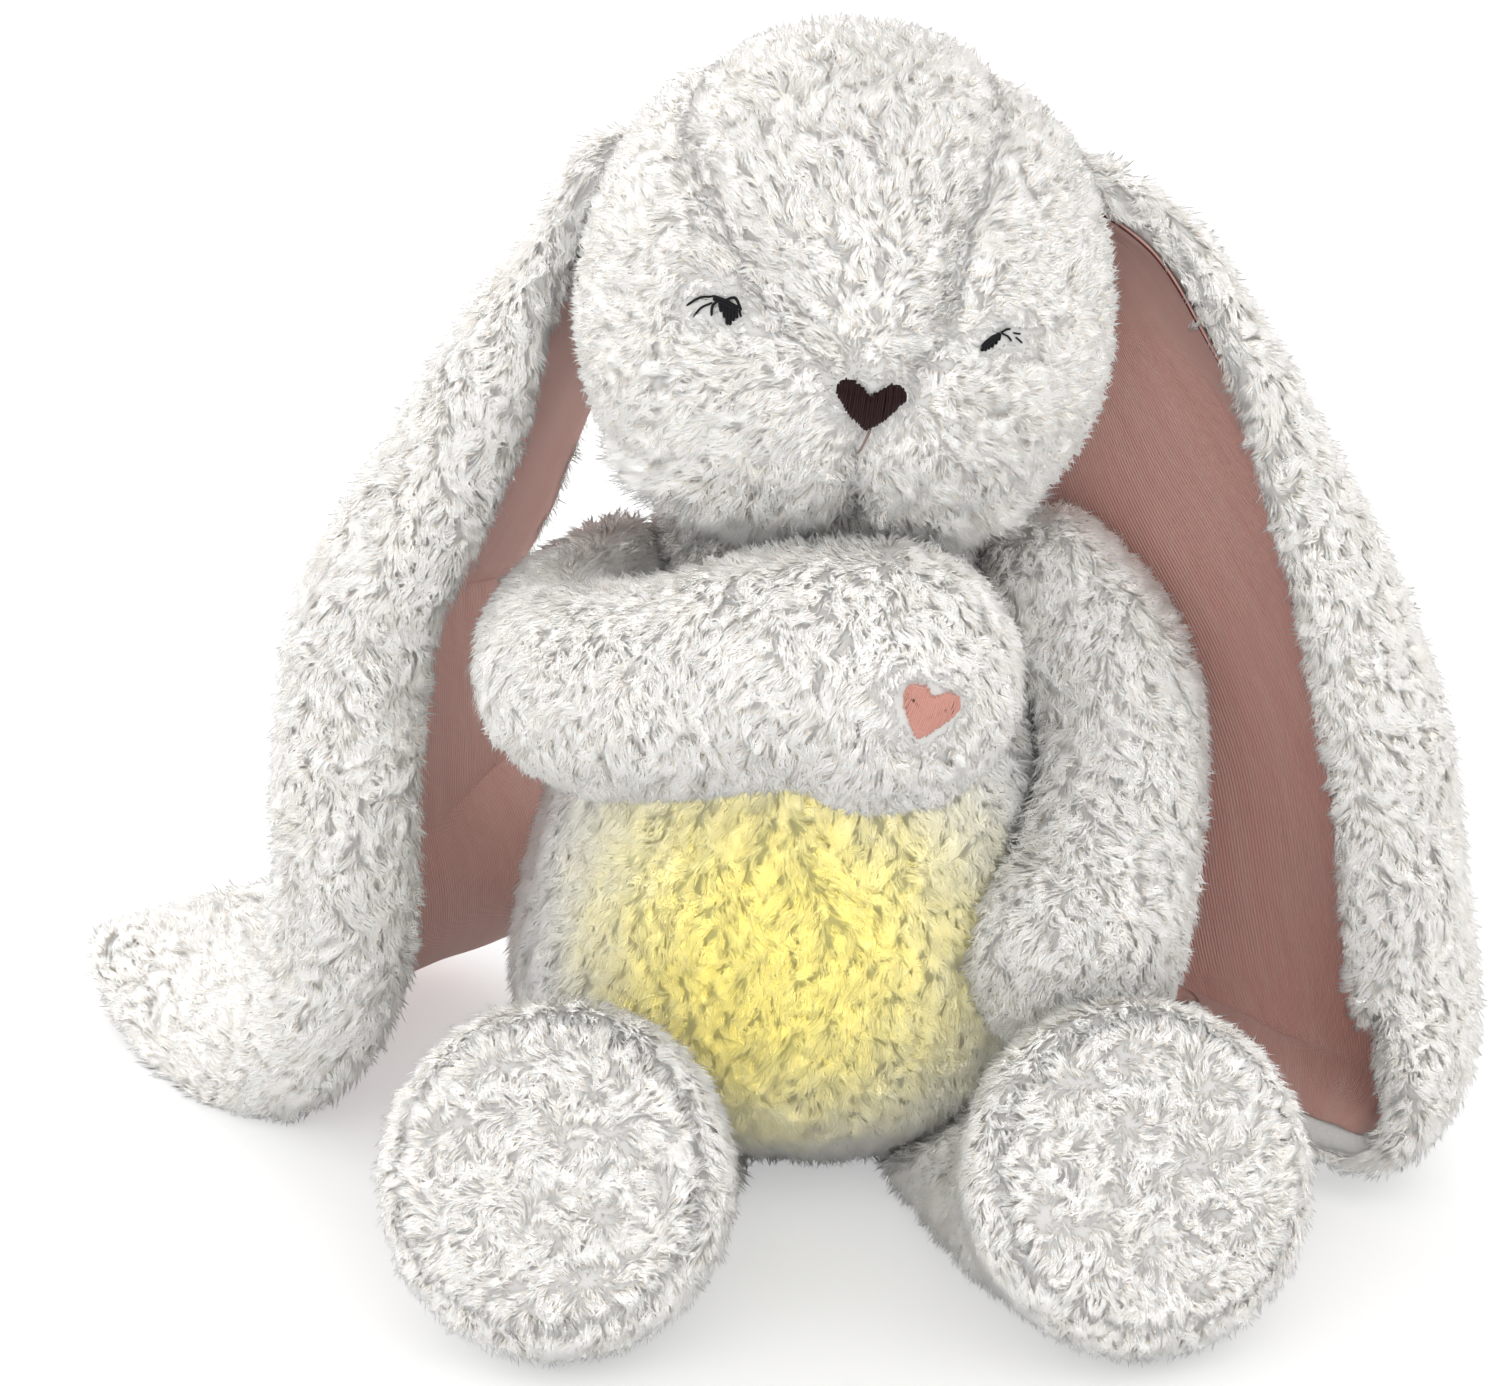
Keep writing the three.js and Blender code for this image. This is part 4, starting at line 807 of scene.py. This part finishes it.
def ear_grid(name, depth, along_shares, across_shares, thin=True):
    """Points of one layer of an ear on a grid, at a depth counted from its middle towards the lining."""
    ear = EARS[name]
    mirror, root = ear["mirror"], ear_root(name)
    stops = [np.array([x * EAR_LENGTH * mirror, -y * EAR_LENGTH, z * root[2]]) + root
             for x, y, z, *_ in ear["stops"]]
    looks = [np.array([-row[3] * mirror, row[4], row[5]]) for row in ear["stops"]]
    grid = np.empty((len(along_shares), len(across_shares), 3))
    depths = np.broadcast_to(depth, grid.shape[:2])
    for i, t in enumerate(along_shares):
        along = unit(curve_point(stops, t + 1e-4) - curve_point(stops, t - 1e-4))
        out = unit(np.cross(curve_point(looks, t), along)) * mirror
        front = np.cross(along, out) * mirror
        wide, rolled, lip = read_shares(ear["widths"], t)
        round_end = ear_end(t)
        centre = curve_point(stops, t)
        for j, share in enumerate(across_shares):
            drawn = 0.5 + (share - 0.5) * (0.25 + 0.75 * round_end)
            sideways, forward, angle = across_ear(
                drawn, wide * EAR_WIDTH, rolled * EAR_ROLL_TURN, ear["cup"], lip)
            level = depths[i, j] * round_end * (math.sqrt(1 - 0.8 * (2 * share - 1) ** 16) if thin else 1)
            grid[i, j] = (centre + out * (sideways - level * math.sin(angle))
                          + front * (forward + level * math.cos(angle)))
    grid[..., 2] = np.maximum(grid[..., 2], EAR_FLOOR)
    return grid


def sheet_of(name, grid):
    """An open sheet of squares from a grid of points."""
    rows, columns = grid.shape[:2]
    near = (np.arange(rows - 1)[:, None] * columns + np.arange(columns - 1)[None]).ravel()
    faces = np.stack([near, near + 1, near + columns + 1, near + columns], 1)
    return new_mesh(name, grid.reshape(-1, 3), faces)


# Camera, floor and light
def place_aimed(name, data, place, aim):
    """Adds a camera or a lamp that looks at a point."""
    made = bpy.data.objects.new(name, data)
    made.location = place
    made.rotation_euler = (Vector(aim) - Vector(place)).to_track_quat("-Z", "Y").to_euler()
    bpy.context.scene.collection.objects.link(made)
    return made


class RABBIT_OT_stage(bpy.types.Operator):
    """Sets the camera, the floor and the soft studio light"""

    bl_idname = "rabbit.stage"
    bl_label = "Stage"

    def execute(self, context):
        data = bpy.data.cameras.new("camera")
        data.lens, data.sensor_width, data.clip_end = LENS, SENSOR, 20
        context.scene.camera = place_aimed("camera", data, EYE, AIM)
        context.scene.view_settings.view_transform = "Standard"
        self.floor()
        self.sky()
        for name, place, size, power, tint in LAMPS:
            data = bpy.data.lights.new(name, "AREA")
            data.shape, data.size, data.energy, data.color = "DISK", size, power, tint
            place_aimed(name, data, place, LAMP_AIM)
        return {"FINISHED"}

    def floor(self):
        """A pale floor that adds some light of its own, so that it's nearly white round the shadows."""
        size = 3.0
        corners = np.array([[-size, -size, 0], [size, -size, 0], [size, size, 0], [-size, size, 0]])
        floor = new_mesh("floor", corners, np.array([[0, 1, 2, 3]]))
        floor.location.z = -0.2 * MM
        material, tree, shader = new_material("floor", (0.8, 0.8, 0.8, 1))
        path = tree.nodes.new("ShaderNodeLightPath")
        seen = reckoned(tree, "ADD", path.outputs["Is Camera Ray"], path.outputs["Is Glossy Ray"])
        glow = reckoned(tree, "MULTIPLY", seen, 0.42)
        fill(tree, shader, {"Emission Color": (1, 1, 1, 1), "Emission Strength": glow})
        floor.data.materials.append(material)

    def sky(self):
        """White behind everything, and a slightly dimmer and warmer light from all sides."""
        world = bpy.data.worlds.new("studio")
        bpy.context.scene.world = world
        world.use_nodes = True
        tree = world.node_tree
        seen = tree.nodes.new("ShaderNodeLightPath").outputs["Is Camera Ray"]
        fill(tree, tree.nodes["Background"], {
            "Color": mixed(tree, seen, (1, 0.985, 0.965, 1), (1, 1, 1, 1)),
            "Strength": spread(tree, seen, 0, 1, 0.76, 1.0)})


def grow(name, body, skin, flow_of, seed, keep=None, length=1.0, lift=LIFT, materials=None, carried=None,
         panel_of=None):
    """Grows the pile on a skin, one piece for each of its sewn panels. length and lift are values or functions."""
    spacing = bpy.context.scene.rabbit_pile.spacing
    spots, facing, values = scatter(skin, spacing, np.random.default_rng(seed), keep, carried)
    shares, lifts = (value(spots, facing) if callable(value) else np.full(len(spots), value)
                     for value in (length, lift))
    flow = values if carried is not None else flow_of(spots, facing)
    panels = np.zeros(len(spots), int) if panel_of is None else panel_of(spots)
    for panel in np.unique(panels):
        chosen = panels == panel
        title = f"{name}_pile_{panel + 1}" if panel_of else f"{name}_pile"
        piece = locks(title, spots[chosen], facing[chosen], flow[chosen], seed, shares[chosen], lifts[chosen])
        finish_piece(piece, body, materials or pile_materials(), "plush_pile")
        if materials is None:
            warm = waves(spots[chosen], 13 * MM, seed + 5) + np.random.default_rng(seed).normal(0, 1, chosen.sum())
            tints = np.repeat((warm > 0.9).astype(np.int32)[:, None], len(LOCK_FACES), axis=1)
            # The halves of the locks near their roots take the darker colour: painted shade between the locks
            tints[:, :len(LOCK_FACES) // 2] = PAINTED_SHADE_TINT
            piece.data.polygons.foreach_set("material_index", tints.ravel())


def falling(spots, facing):
    return np.broadcast_to(DOWN, spots.shape) + facing * 0.0


def torso_round(points):
    """How far out in the torso each point is: 1 on its surface."""
    heights = np.linspace(0, 1, 120)
    rows = np.array([read_shares(TORSO_SHARES, height) for height in heights])
    shares = (points[:, 2] - TORSO_BASE) / (TORSO_HEIGHT - TORSO_BASE)
    wide, deep, lean = (np.interp(shares, heights, column) for column in rows.T)
    return np.hypot(points[:, 0] / (wide * TORSO_HALF_WIDTH),
                    (points[:, 1] + lean * TORSO_HALF_DEPTH) / (deep * TORSO_HALF_DEPTH))


def distance_to(points, node):
    tree = node_tree(node)
    return np.array([tree.find_nearest(Vector(point))[3] for point in points])


class RABBIT_OT_body(bpy.types.Operator):
    """Grows the pile of the body, the tail and the pocket flap, and gives the seat its cloth"""

    bl_idname = "rabbit.body"
    bl_label = "Body"

    def execute(self, context):
        lit = lit_pile_material()
        # The torso's cloth takes the pile's painted light too
        skin = stuffed("torso", "body", 0.85, lit)
        grow("torso", "body", skin, self.flow, 1, lambda spots, facing: self.outside(spots) & ~self.glows(spots),
             self.length, self.lift, panel_of=self.panel)
        grow("belly", "body", skin, self.flow, 1, lambda spots, facing: self.outside(spots) & self.glows(spots),
             self.length, self.lift, lit)
        tail = stuffed("tail", "body", 0.8)
        grow("tail", "body", tail, falling, 2, length=1.2, lift=0.8)
        stuffed("seat_panel", "body", 0.4, voxel=1.4 * MM, rounds=4, depth=0.3 * MM)
        self.pocket()
        return {"FINISHED"}

    def pocket(self):
        """The flap, drawn in on its outer side only, and the pad and the two strips of tape under it."""
        flap = stuffed("pocket_flap", "flap", 0.3, voxel=1.0 * MM, rounds=2, depth=1.1 * MM, kept=-0.2 * MM,
                       moved=lambda points: steps(0.972, 0.984, torso_round(points)))
        grow("flap", "flap", flap, falling, 4, lambda spots, facing: facing[:, 1] > 0.25, 0.8)
        stuffed("pocket_pad", "body", 0.7, voxel=1.6 * MM, rounds=6, depth=0.4 * MM)
        dress_node(("pocket_hook_strip",), tape_material("hook_tape", 1100, 0.5 * MM))
        dress_node(("pocket_loop_strip",), tape_material("loop_tape", 1700, 0.35 * MM))

    def glows(self, spots):
        return np.linalg.norm(spots - np.array(GLOW_PLACE), axis=1) < GLOW_REACH + 3 * MM

    def flow(self, spots, facing):
        return falling(spots, facing) + spots * (5, 0, 0)

    def panel(self, spots):
        """Front, two sides and back."""
        angle = np.degrees(np.arctan2(spots[:, 0], -spots[:, 1]))
        return np.digitize(angle, (-125, -62, 62, 125)) % 4

    def outside(self, spots):
        """Where the torso's skin shows: not in its hollow, under the seat or behind the pocket."""
        shown = (torso_round(spots) > 0.88) | (spots[:, 2] > 140 * MM)
        pocket = (np.abs(spots[:, [0, 2]] - POCKET_PLACE) < POCKET_HALF).all(1) & (spots[:, 1] > 0)
        return shown & (spots[:, 2] > 0.5 * MM) & ~pocket

    def raised(self, spots):
        """How far above the seat seam each place is, where the pile is longer and stands out more."""
        return steps(6 * MM, 24 * MM, spots[:, 2])

    def length(self, spots, facing):
        return 1.3 - 0.3 * self.raised(spots)

    def lift(self, spots, facing):
        return 0.5 - 0.32 * self.raised(spots) + 0.2 * steps(-10 * MM, 20 * MM, spots[:, 1])


def place_behind(surface, place_of, x, z, lift=0.0):
    """The place on a surface straight behind a point in front of it, in millimetres, lifted off the cloth."""
    start = place_of @ Vector((x * MM, -120 * MM, z * MM))
    place, normal = surface.ray_cast(start, place_of.to_3x3() @ Vector((0, 1, 0)))[:2]
    return np.array(place + normal * lift)


def laid_thread(surface, place_of, radius, flat, lift, crown):
    """A thread on a surface: its radius and its points, which arch up by the crown between its ends."""
    rises = lift + np.sin(np.linspace(0, math.pi, len(flat))) * crown
    points = [place_behind(surface, place_of, x, z, rise * MM) for (x, z), rise in zip(flat, rises)]
    return radius * MM, np.array(points)


class RABBIT_OT_head(bpy.types.Operator):
    """Grows the pile of the head and sews the face"""

    bl_idname = "rabbit.head"
    bl_label = "Head"

    def execute(self, context):
        self.surface = node_tree("head")
        self.lines = self.stitch_lines()
        self.places = Line(np.concatenate([line for _, line in sum(self.lines.values(), [])]))
        skin = stuffed_skin("head", moved=self.places.moved)
        nearest = tree_of(skin)
        self.seams = []
        for stops in HEAD_SEAMS:
            line = curve_through([HEAD_PLACE @ (Vector(stop) * MM) for stop in stops], 120)
            line = np.array([nearest.find_nearest(Vector(point))[0] for point in line])
            self.seams.append(Line(line))
        for seam, depth, starts in zip(self.seams, (5.5, 5, 4.5), (0.38, 0.34, -0.3)):
            crease(skin, seam, depth * MM, 5.5 * MM, starts)
        finish_piece(skin, "head", cloth_material(), "plush_pile", "head")
        grow("head", "head", skin, self.flow, 3, self.clear_of_face, self.length,
             lambda spots, facing: 0.12 + 0.8 * self.chin(spots), panel_of=self.panel)
        threads = (("nose", "nose", "dark_thread"), ("mouth_stitch", "mouth", "dark_thread"),
                   ("eye_right", "eyes", "black_thread"), ("eye_left", "eyes", "black_thread"))
        for node, thread, slot_name in threads:
            piece = sewn_threads(f"{node}_stitches", self.lines[node])
            finish_piece(piece, "head", thread_material(f"{node}_thread", colour(thread)), slot_name, node)
        return {"FINISHED"}

    def panel(self, spots):
        """The side of the head, the gusset or the other side."""
        across = HEAD_PLACE.to_3x3() @ Vector((1, 0, 0))
        ways = np.array([seam.away(spots) for seam in self.seams])
        nearest = np.linalg.norm(ways, axis=2).argmin(0)
        right = ways[nearest, np.arange(len(spots))] @ np.array(across) > 0
        return np.select([nearest == 0, nearest == 1], [right * 1, 1 + right * 1], right * 2)

    def stitch_lines(self):
        """All the face's stitches: for each node its threads, each a radius and its points."""
        rng = np.random.default_rng(31)
        outline = heart_outline(*NOSE_SIZE, 0.2) + np.array(NOSE)
        over = [self.thread(0.33, stop, rng.uniform(0.75, 1.05), 0.9) for stop in satin_rows(outline, 0.52, rng)]
        under = satin_rows(outline[:, ::-1], 0.6, rng, 0.05)
        lines = {"nose": over + [self.thread(0.4, [(z, x) for x, z in row], 0.5, 0.2) for row in under]}
        for node, rows in EYE_STITCHES.items():
            lines[node] = [self.thread(row[0], row[1:], 0.45, 0.2) for row in rows]
        lines["mouth_stitch"] = [self.thread(0.34, MOUTH, 0.2, 0.1)]
        return lines

    def thread(self, radius, stops, lift, crown):
        return laid_thread(self.surface, HEAD_PLACE, radius, curve_through(stops, 12), lift - 0.7, crown)

    def clear_of_face(self, spots, facing):
        return self.places.off(spots) > 0.9 * MM

    def length(self, spots, facing):
        shares = 0.34 + 0.66 * steps(1 * MM, 10 * MM, self.places.off(spots))
        for seam in self.seams:
            shares *= 0.55 + 0.45 * steps(0, 6 * MM, seam.off(spots))
        return shares * (1 + 1.2 * self.chin(spots))

    def chin(self, spots):
        """How near the underside of the head each place is."""
        height = spots @ np.array(HEAD_PLACE.to_3x3())[:, 2] - HEAD_PLACE.translation.dot(HEAD_PLACE.col[2].xyz)
        return steps(-36 * MM, -50 * MM, height)

    def flow(self, spots, facing):
        nose = place_behind(self.surface, HEAD_PLACE, NOSE[0], NOSE[1] + 4)
        flow = unit(spots - nose) + DOWN * 0.3
        for seam in self.seams:
            away = seam.away(spots)
            off = np.linalg.norm(away, axis=1, keepdims=True)
            flow = flow + unit(away) * 1.2 * np.exp(-((off / (5 * MM)) ** 2))
        return flow


class RABBIT_OT_limbs(bpy.types.Operator):
    """Grows the pile of the arms, legs and feet, and sews the heart on the paw"""

    bl_idname = "rabbit.limbs"
    bl_label = "Limbs"

    def execute(self, context):
        self.heart_lines = self.heart()
        self.places = Line(np.concatenate([line for _, line in self.heart_lines]))
        for seed, side in enumerate(("right", "left")):
            arm = stuffed(f"arm_{side}", f"arm_{side}", 0.8, moved=self.places.moved)
            grow(f"arm_{side}", f"arm_{side}", arm, falling, 10 + seed, self.clear_of_heart, self.length)
            self.leg(side, 12 + seed)
        piece = sewn_threads("heart_stitches", self.heart_lines)
        finish_piece(piece, "arm_right", thread_material("heart_thread", colour("heart")), "salmon_thread",
                     "paw_heart")
        return {"FINISHED"}

    def heart(self):
        rng = np.random.default_rng(41)
        surface = node_tree("arm_right")
        spin = np.array(Matrix.Rotation(HEART_LEAN, 2))
        outline = heart_outline(*HEART_SIZE, 0.3)
        stitches = [(0.29, 0.8, row) for row in satin_rows(outline, 0.46, rng, 0.45)]
        stitches += [(0.4, 0.3, [(z, x) for x, z in row]) for row in satin_rows(outline[:, ::-1], 0.6, rng, 0.05)]
        return [laid_thread(surface, PAW_PLACE, radius, curve_through(row, 10) @ spin + HEART, -0.1, crown)
                for radius, crown, row in stitches]

    def clear_of_heart(self, spots, facing):
        return self.places.off(spots) > 1.5 * MM

    def length(self, spots, facing):
        return 0.35 + 0.65 * steps(2 * MM, 9 * MM, self.places.off(spots))

    def leg(self, side, seed):
        name, sole = f"leg_{side}", f"sole_{side}"
        leg = stuffed(name, name, 0.85)
        middle, whole = (np.array((low + high) / 2) for low, high in (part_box(sole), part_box(name)))
        forwards = unit(np.array([0.0, -0.35, -1.0]))
        grow(name, name, leg, lambda spots, facing: forwards + spots * 0, seed,
             lambda spots, facing: distance_to(spots, sole) > 0.4 * MM,
             lambda spots, facing: 0.75 + 0.25 * steps(2 * MM, 9 * MM, distance_to(spots, sole)), 0.34)
        panel = stuffed(sole, name, 0.5, voxel=1.4 * MM, rounds=6, depth=0.9 * MM)
        outwards = unit((middle - whole) * np.array([1, 1, 0.4]))

        def rim(spots, start=0.8):
            """How near the rim of the sole each place is, from a share of its reach onwards."""
            return steps(start * SOLE_REACH, SOLE_REACH, np.linalg.norm(spots - middle, axis=1))

        def swirl(spots, facing):
            curls = np.stack([waves(spots, 17 * MM, seed + k) for k in range(3)], 1)
            return curls + DOWN * 0.3 + unit(spots - middle) * 3 * rim(spots, 0.7)[:, None]

        grow(sole, name, panel, swirl, seed + 20, lambda spots, facing: facing @ outwards > 0.0,
             lambda spots, facing: 0.9 + 0.3 * rim(spots), lambda spots, facing: 0.1 + 0.38 * rim(spots))


class RABBIT_OT_ears(bpy.types.Operator):
    """Lays the ears' pile and lining along their folds"""

    bl_idname = "rabbit.ears"
    bl_label = "Ears"

    def execute(self, context):
        for seed, name in enumerate(EARS):
            body = f"ear_{name}"
            skin = self.skin(name)
            finish_piece(skin, body, cloth_material(), "plush_pile", body)
            wrap, along = self.wrap(name)
            grow(body, body, wrap, None, 20 + seed, lift=0.3, carried=along)
            bpy.data.objects.remove(wrap)
            self.lining(name, body)
            if name == "left":
                self.give_way(body)
        return {"FINISHED"}

    def skin(self, name):
        half = EAR_THICKNESS / 2
        along, across = eased(110), eased(36)
        outer = ear_grid(name, -half + EAR_DEPTH, along, across)
        inner = ear_grid(name, half, along, across)[:, ::-1]
        return closed_rings(f"ear_{name}_skin", np.concatenate([outer, inner], 1))

    def wrap(self, name):
        """The side of an ear that carries pile, round to just inside its rims, and the way along the ear."""
        half = EAR_THICKNESS / 2
        along = eased(130)
        hem = np.array([HEM_SHARE, HEM_SHARE * 0.5])
        first = ear_grid(name, half - EAR_DEPTH * 0.3, along, hem)
        outer = ear_grid(name, -half + EAR_DEPTH, along, np.linspace(0, 1, 60))
        last = ear_grid(name, half - EAR_DEPTH * 0.3, along, 1 - hem[::-1])
        grid = np.concatenate([first, outer, last], 1)
        sheet = sheet_of(f"ear_{name}_wrap", grid)
        side = np.cross(grid[60, 31] - grid[60, 29], grid[61, 30] - grid[59, 30])
        back, front = (ear_grid(name, depth, along[60:61], [0.5])[0, 0] for depth in (-half, half))
        if side @ (back - front) < 0:
            sheet.data.flip_normals()
        return sheet, np.gradient(grid, axis=0).reshape(-1, 3)

    def lining(self, name, body):
        """The satin lining: a thin sheet with folds, pleats at the root and a seam line along its rims."""
        half = EAR_THICKNESS / 2 + LINING_OFFSET
        along = np.linspace(0.012, 0.988, 260)
        across = np.linspace(HEM_SHARE - 0.008, 1 - HEM_SHARE + 0.008, 90)
        t, u = np.meshgrid(along, across, indexing="ij")
        pleats = 0.55 * MM * np.cos(u * 2 * math.pi * 22 + 3 * t) * np.exp(-((t / 0.07) ** 2))
        folds = 0.5 * MM * np.sin(u * 9 + 14 * t) * np.sin(math.pi * t) + 0.35 * MM * np.sin(23 * u - 17 * t)
        edge = np.minimum(steps(0, 0.06, u - across[0]), steps(0, 0.06, across[-1] - u))
        depth = half + SATIN_THICKNESS + (pleats + folds) * edge - SATIN_THICKNESS * (1 - edge)
        grid = ear_grid(name, depth, along, across, False)
        sheet = sheet_of(f"ear_{name}_satin", grid)
        flat = np.stack([u.ravel() * EAR_WIDTH, t.ravel() * EAR_LENGTH], 1)
        corners = read_rows(sheet.data.loops, "vertex_index", np.int32, 1).ravel()
        uv = sheet.data.uv_layers.new(name="weave")
        uv.data.foreach_set("uv", flat[corners].astype(np.float32).ravel())
        solid = sheet.modifiers.new("cloth", "SOLIDIFY")
        solid.thickness, solid.offset = SATIN_THICKNESS, 0
        apply_modifiers(sheet)
        finish_piece(sheet, body, bpy.data.materials.get("lining") or lining_material(), "ear_lining",
                     f"ear_{name}_lining")
        rim = [1 - HEM_SHARE - 0.004]
        line = ear_grid(name, half + SATIN_THICKNESS, np.linspace(0.03, 0.97, 220), rim, False)[:, 0]
        seam = sewn_threads(f"ear_{name}_seam", [(0.28 * MM, line)])
        known = bpy.data.materials.get("seam_thread") or thread_material("seam_thread", colour("seam"), 0.7)
        finish_piece(seam, body, known, "ear_lining")

    def give_way(self, body):
        """This ear lies against the back; each of its pieces gets a mesh of its own."""
        for part in ("skin", "pile", "satin", "seam"):
            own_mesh(bpy.data.objects[f"{body}_{part}"])

    def area(self, grid):
        a, b, c = grid[:-1, :-1], grid[1:, :-1], grid[:-1, 1:]
        return float(np.linalg.norm(np.cross(b - a, c - a), axis=-1).sum())


class RABBIT_OT_light(bpy.types.Operator):
    """Finishes the light module behind the belly"""

    bl_idname = "rabbit.light"
    bl_label = "Light module"

    def execute(self, context):
        milky = hard_material("milky_plastic", (0.88, 0.85, 0.72, 1), 0.4)
        tree = milky.node_tree
        fill(tree, tree.nodes["Principled BSDF"], {"Emission Color": colour("light"), "Emission Strength": 0.3})
        shell = hard_material("shell_plastic", (0.75, 0.75, 0.73, 1), 0.45, grain=0.3)
        metal = hard_material("bright_metal", (0.7, 0.69, 0.66, 1), 0.25, 1.0)
        black = hard_material("black_plastic", (0.02, 0.02, 0.022, 1), 0.4, grain=0.3)
        threes, fours = range(1, 4), range(1, 5)
        dress_node(["light_dome", *(f"led_{k}" for k in fours)], milky)
        dress_node(["module_housing", "battery_door"], shell)
        dress_node(["door_screw", *(f"{part}_{k}" for part in ("contact_spring", "contact_plate", "board_screw")
                                    for k in threes)], metal)
        dress_node(["tact_switch", "power_button"], black)
        dress_node([f"battery_{k}" for k in threes], jacket_material())
        dress_node(["led_board"], board_material())
        return {"FINISHED"}


class RABBIT_PT_panel(bpy.types.Panel):
    """Lists the rabbit's steps in the sidebar"""

    bl_label = "Rabbit"
    bl_idname = "RABBIT_PT_panel"
    bl_space_type = "VIEW_3D"
    bl_region_type = "UI"
    bl_category = "Rabbit"

    def draw(self, context):
        for operator in OPERATORS:
            self.layout.operator(operator.bl_idname)


OPERATORS = (RABBIT_OT_stage, RABBIT_OT_body, RABBIT_OT_head, RABBIT_OT_limbs, RABBIT_OT_ears, RABBIT_OT_light)
CLASSES = (RabbitPile, RabbitColours, *OPERATORS, RABBIT_PT_panel)


def register():
    for each in CLASSES:
        bpy.utils.register_class(each)
    bpy.types.Scene.rabbit_pile = bpy.props.PointerProperty(type=RabbitPile)
    bpy.types.Scene.rabbit_colours = bpy.props.PointerProperty(type=RabbitColours)


def unregister():
    del bpy.types.Scene.rabbit_pile
    del bpy.types.Scene.rabbit_colours
    for each in reversed(CLASSES):
        bpy.utils.unregister_class(each)


def main():
    register()
    for operator in OPERATORS:
        getattr(bpy.ops.rabbit, operator.bl_idname.split(".")[1])()


if __name__ == "__main__":
    main()
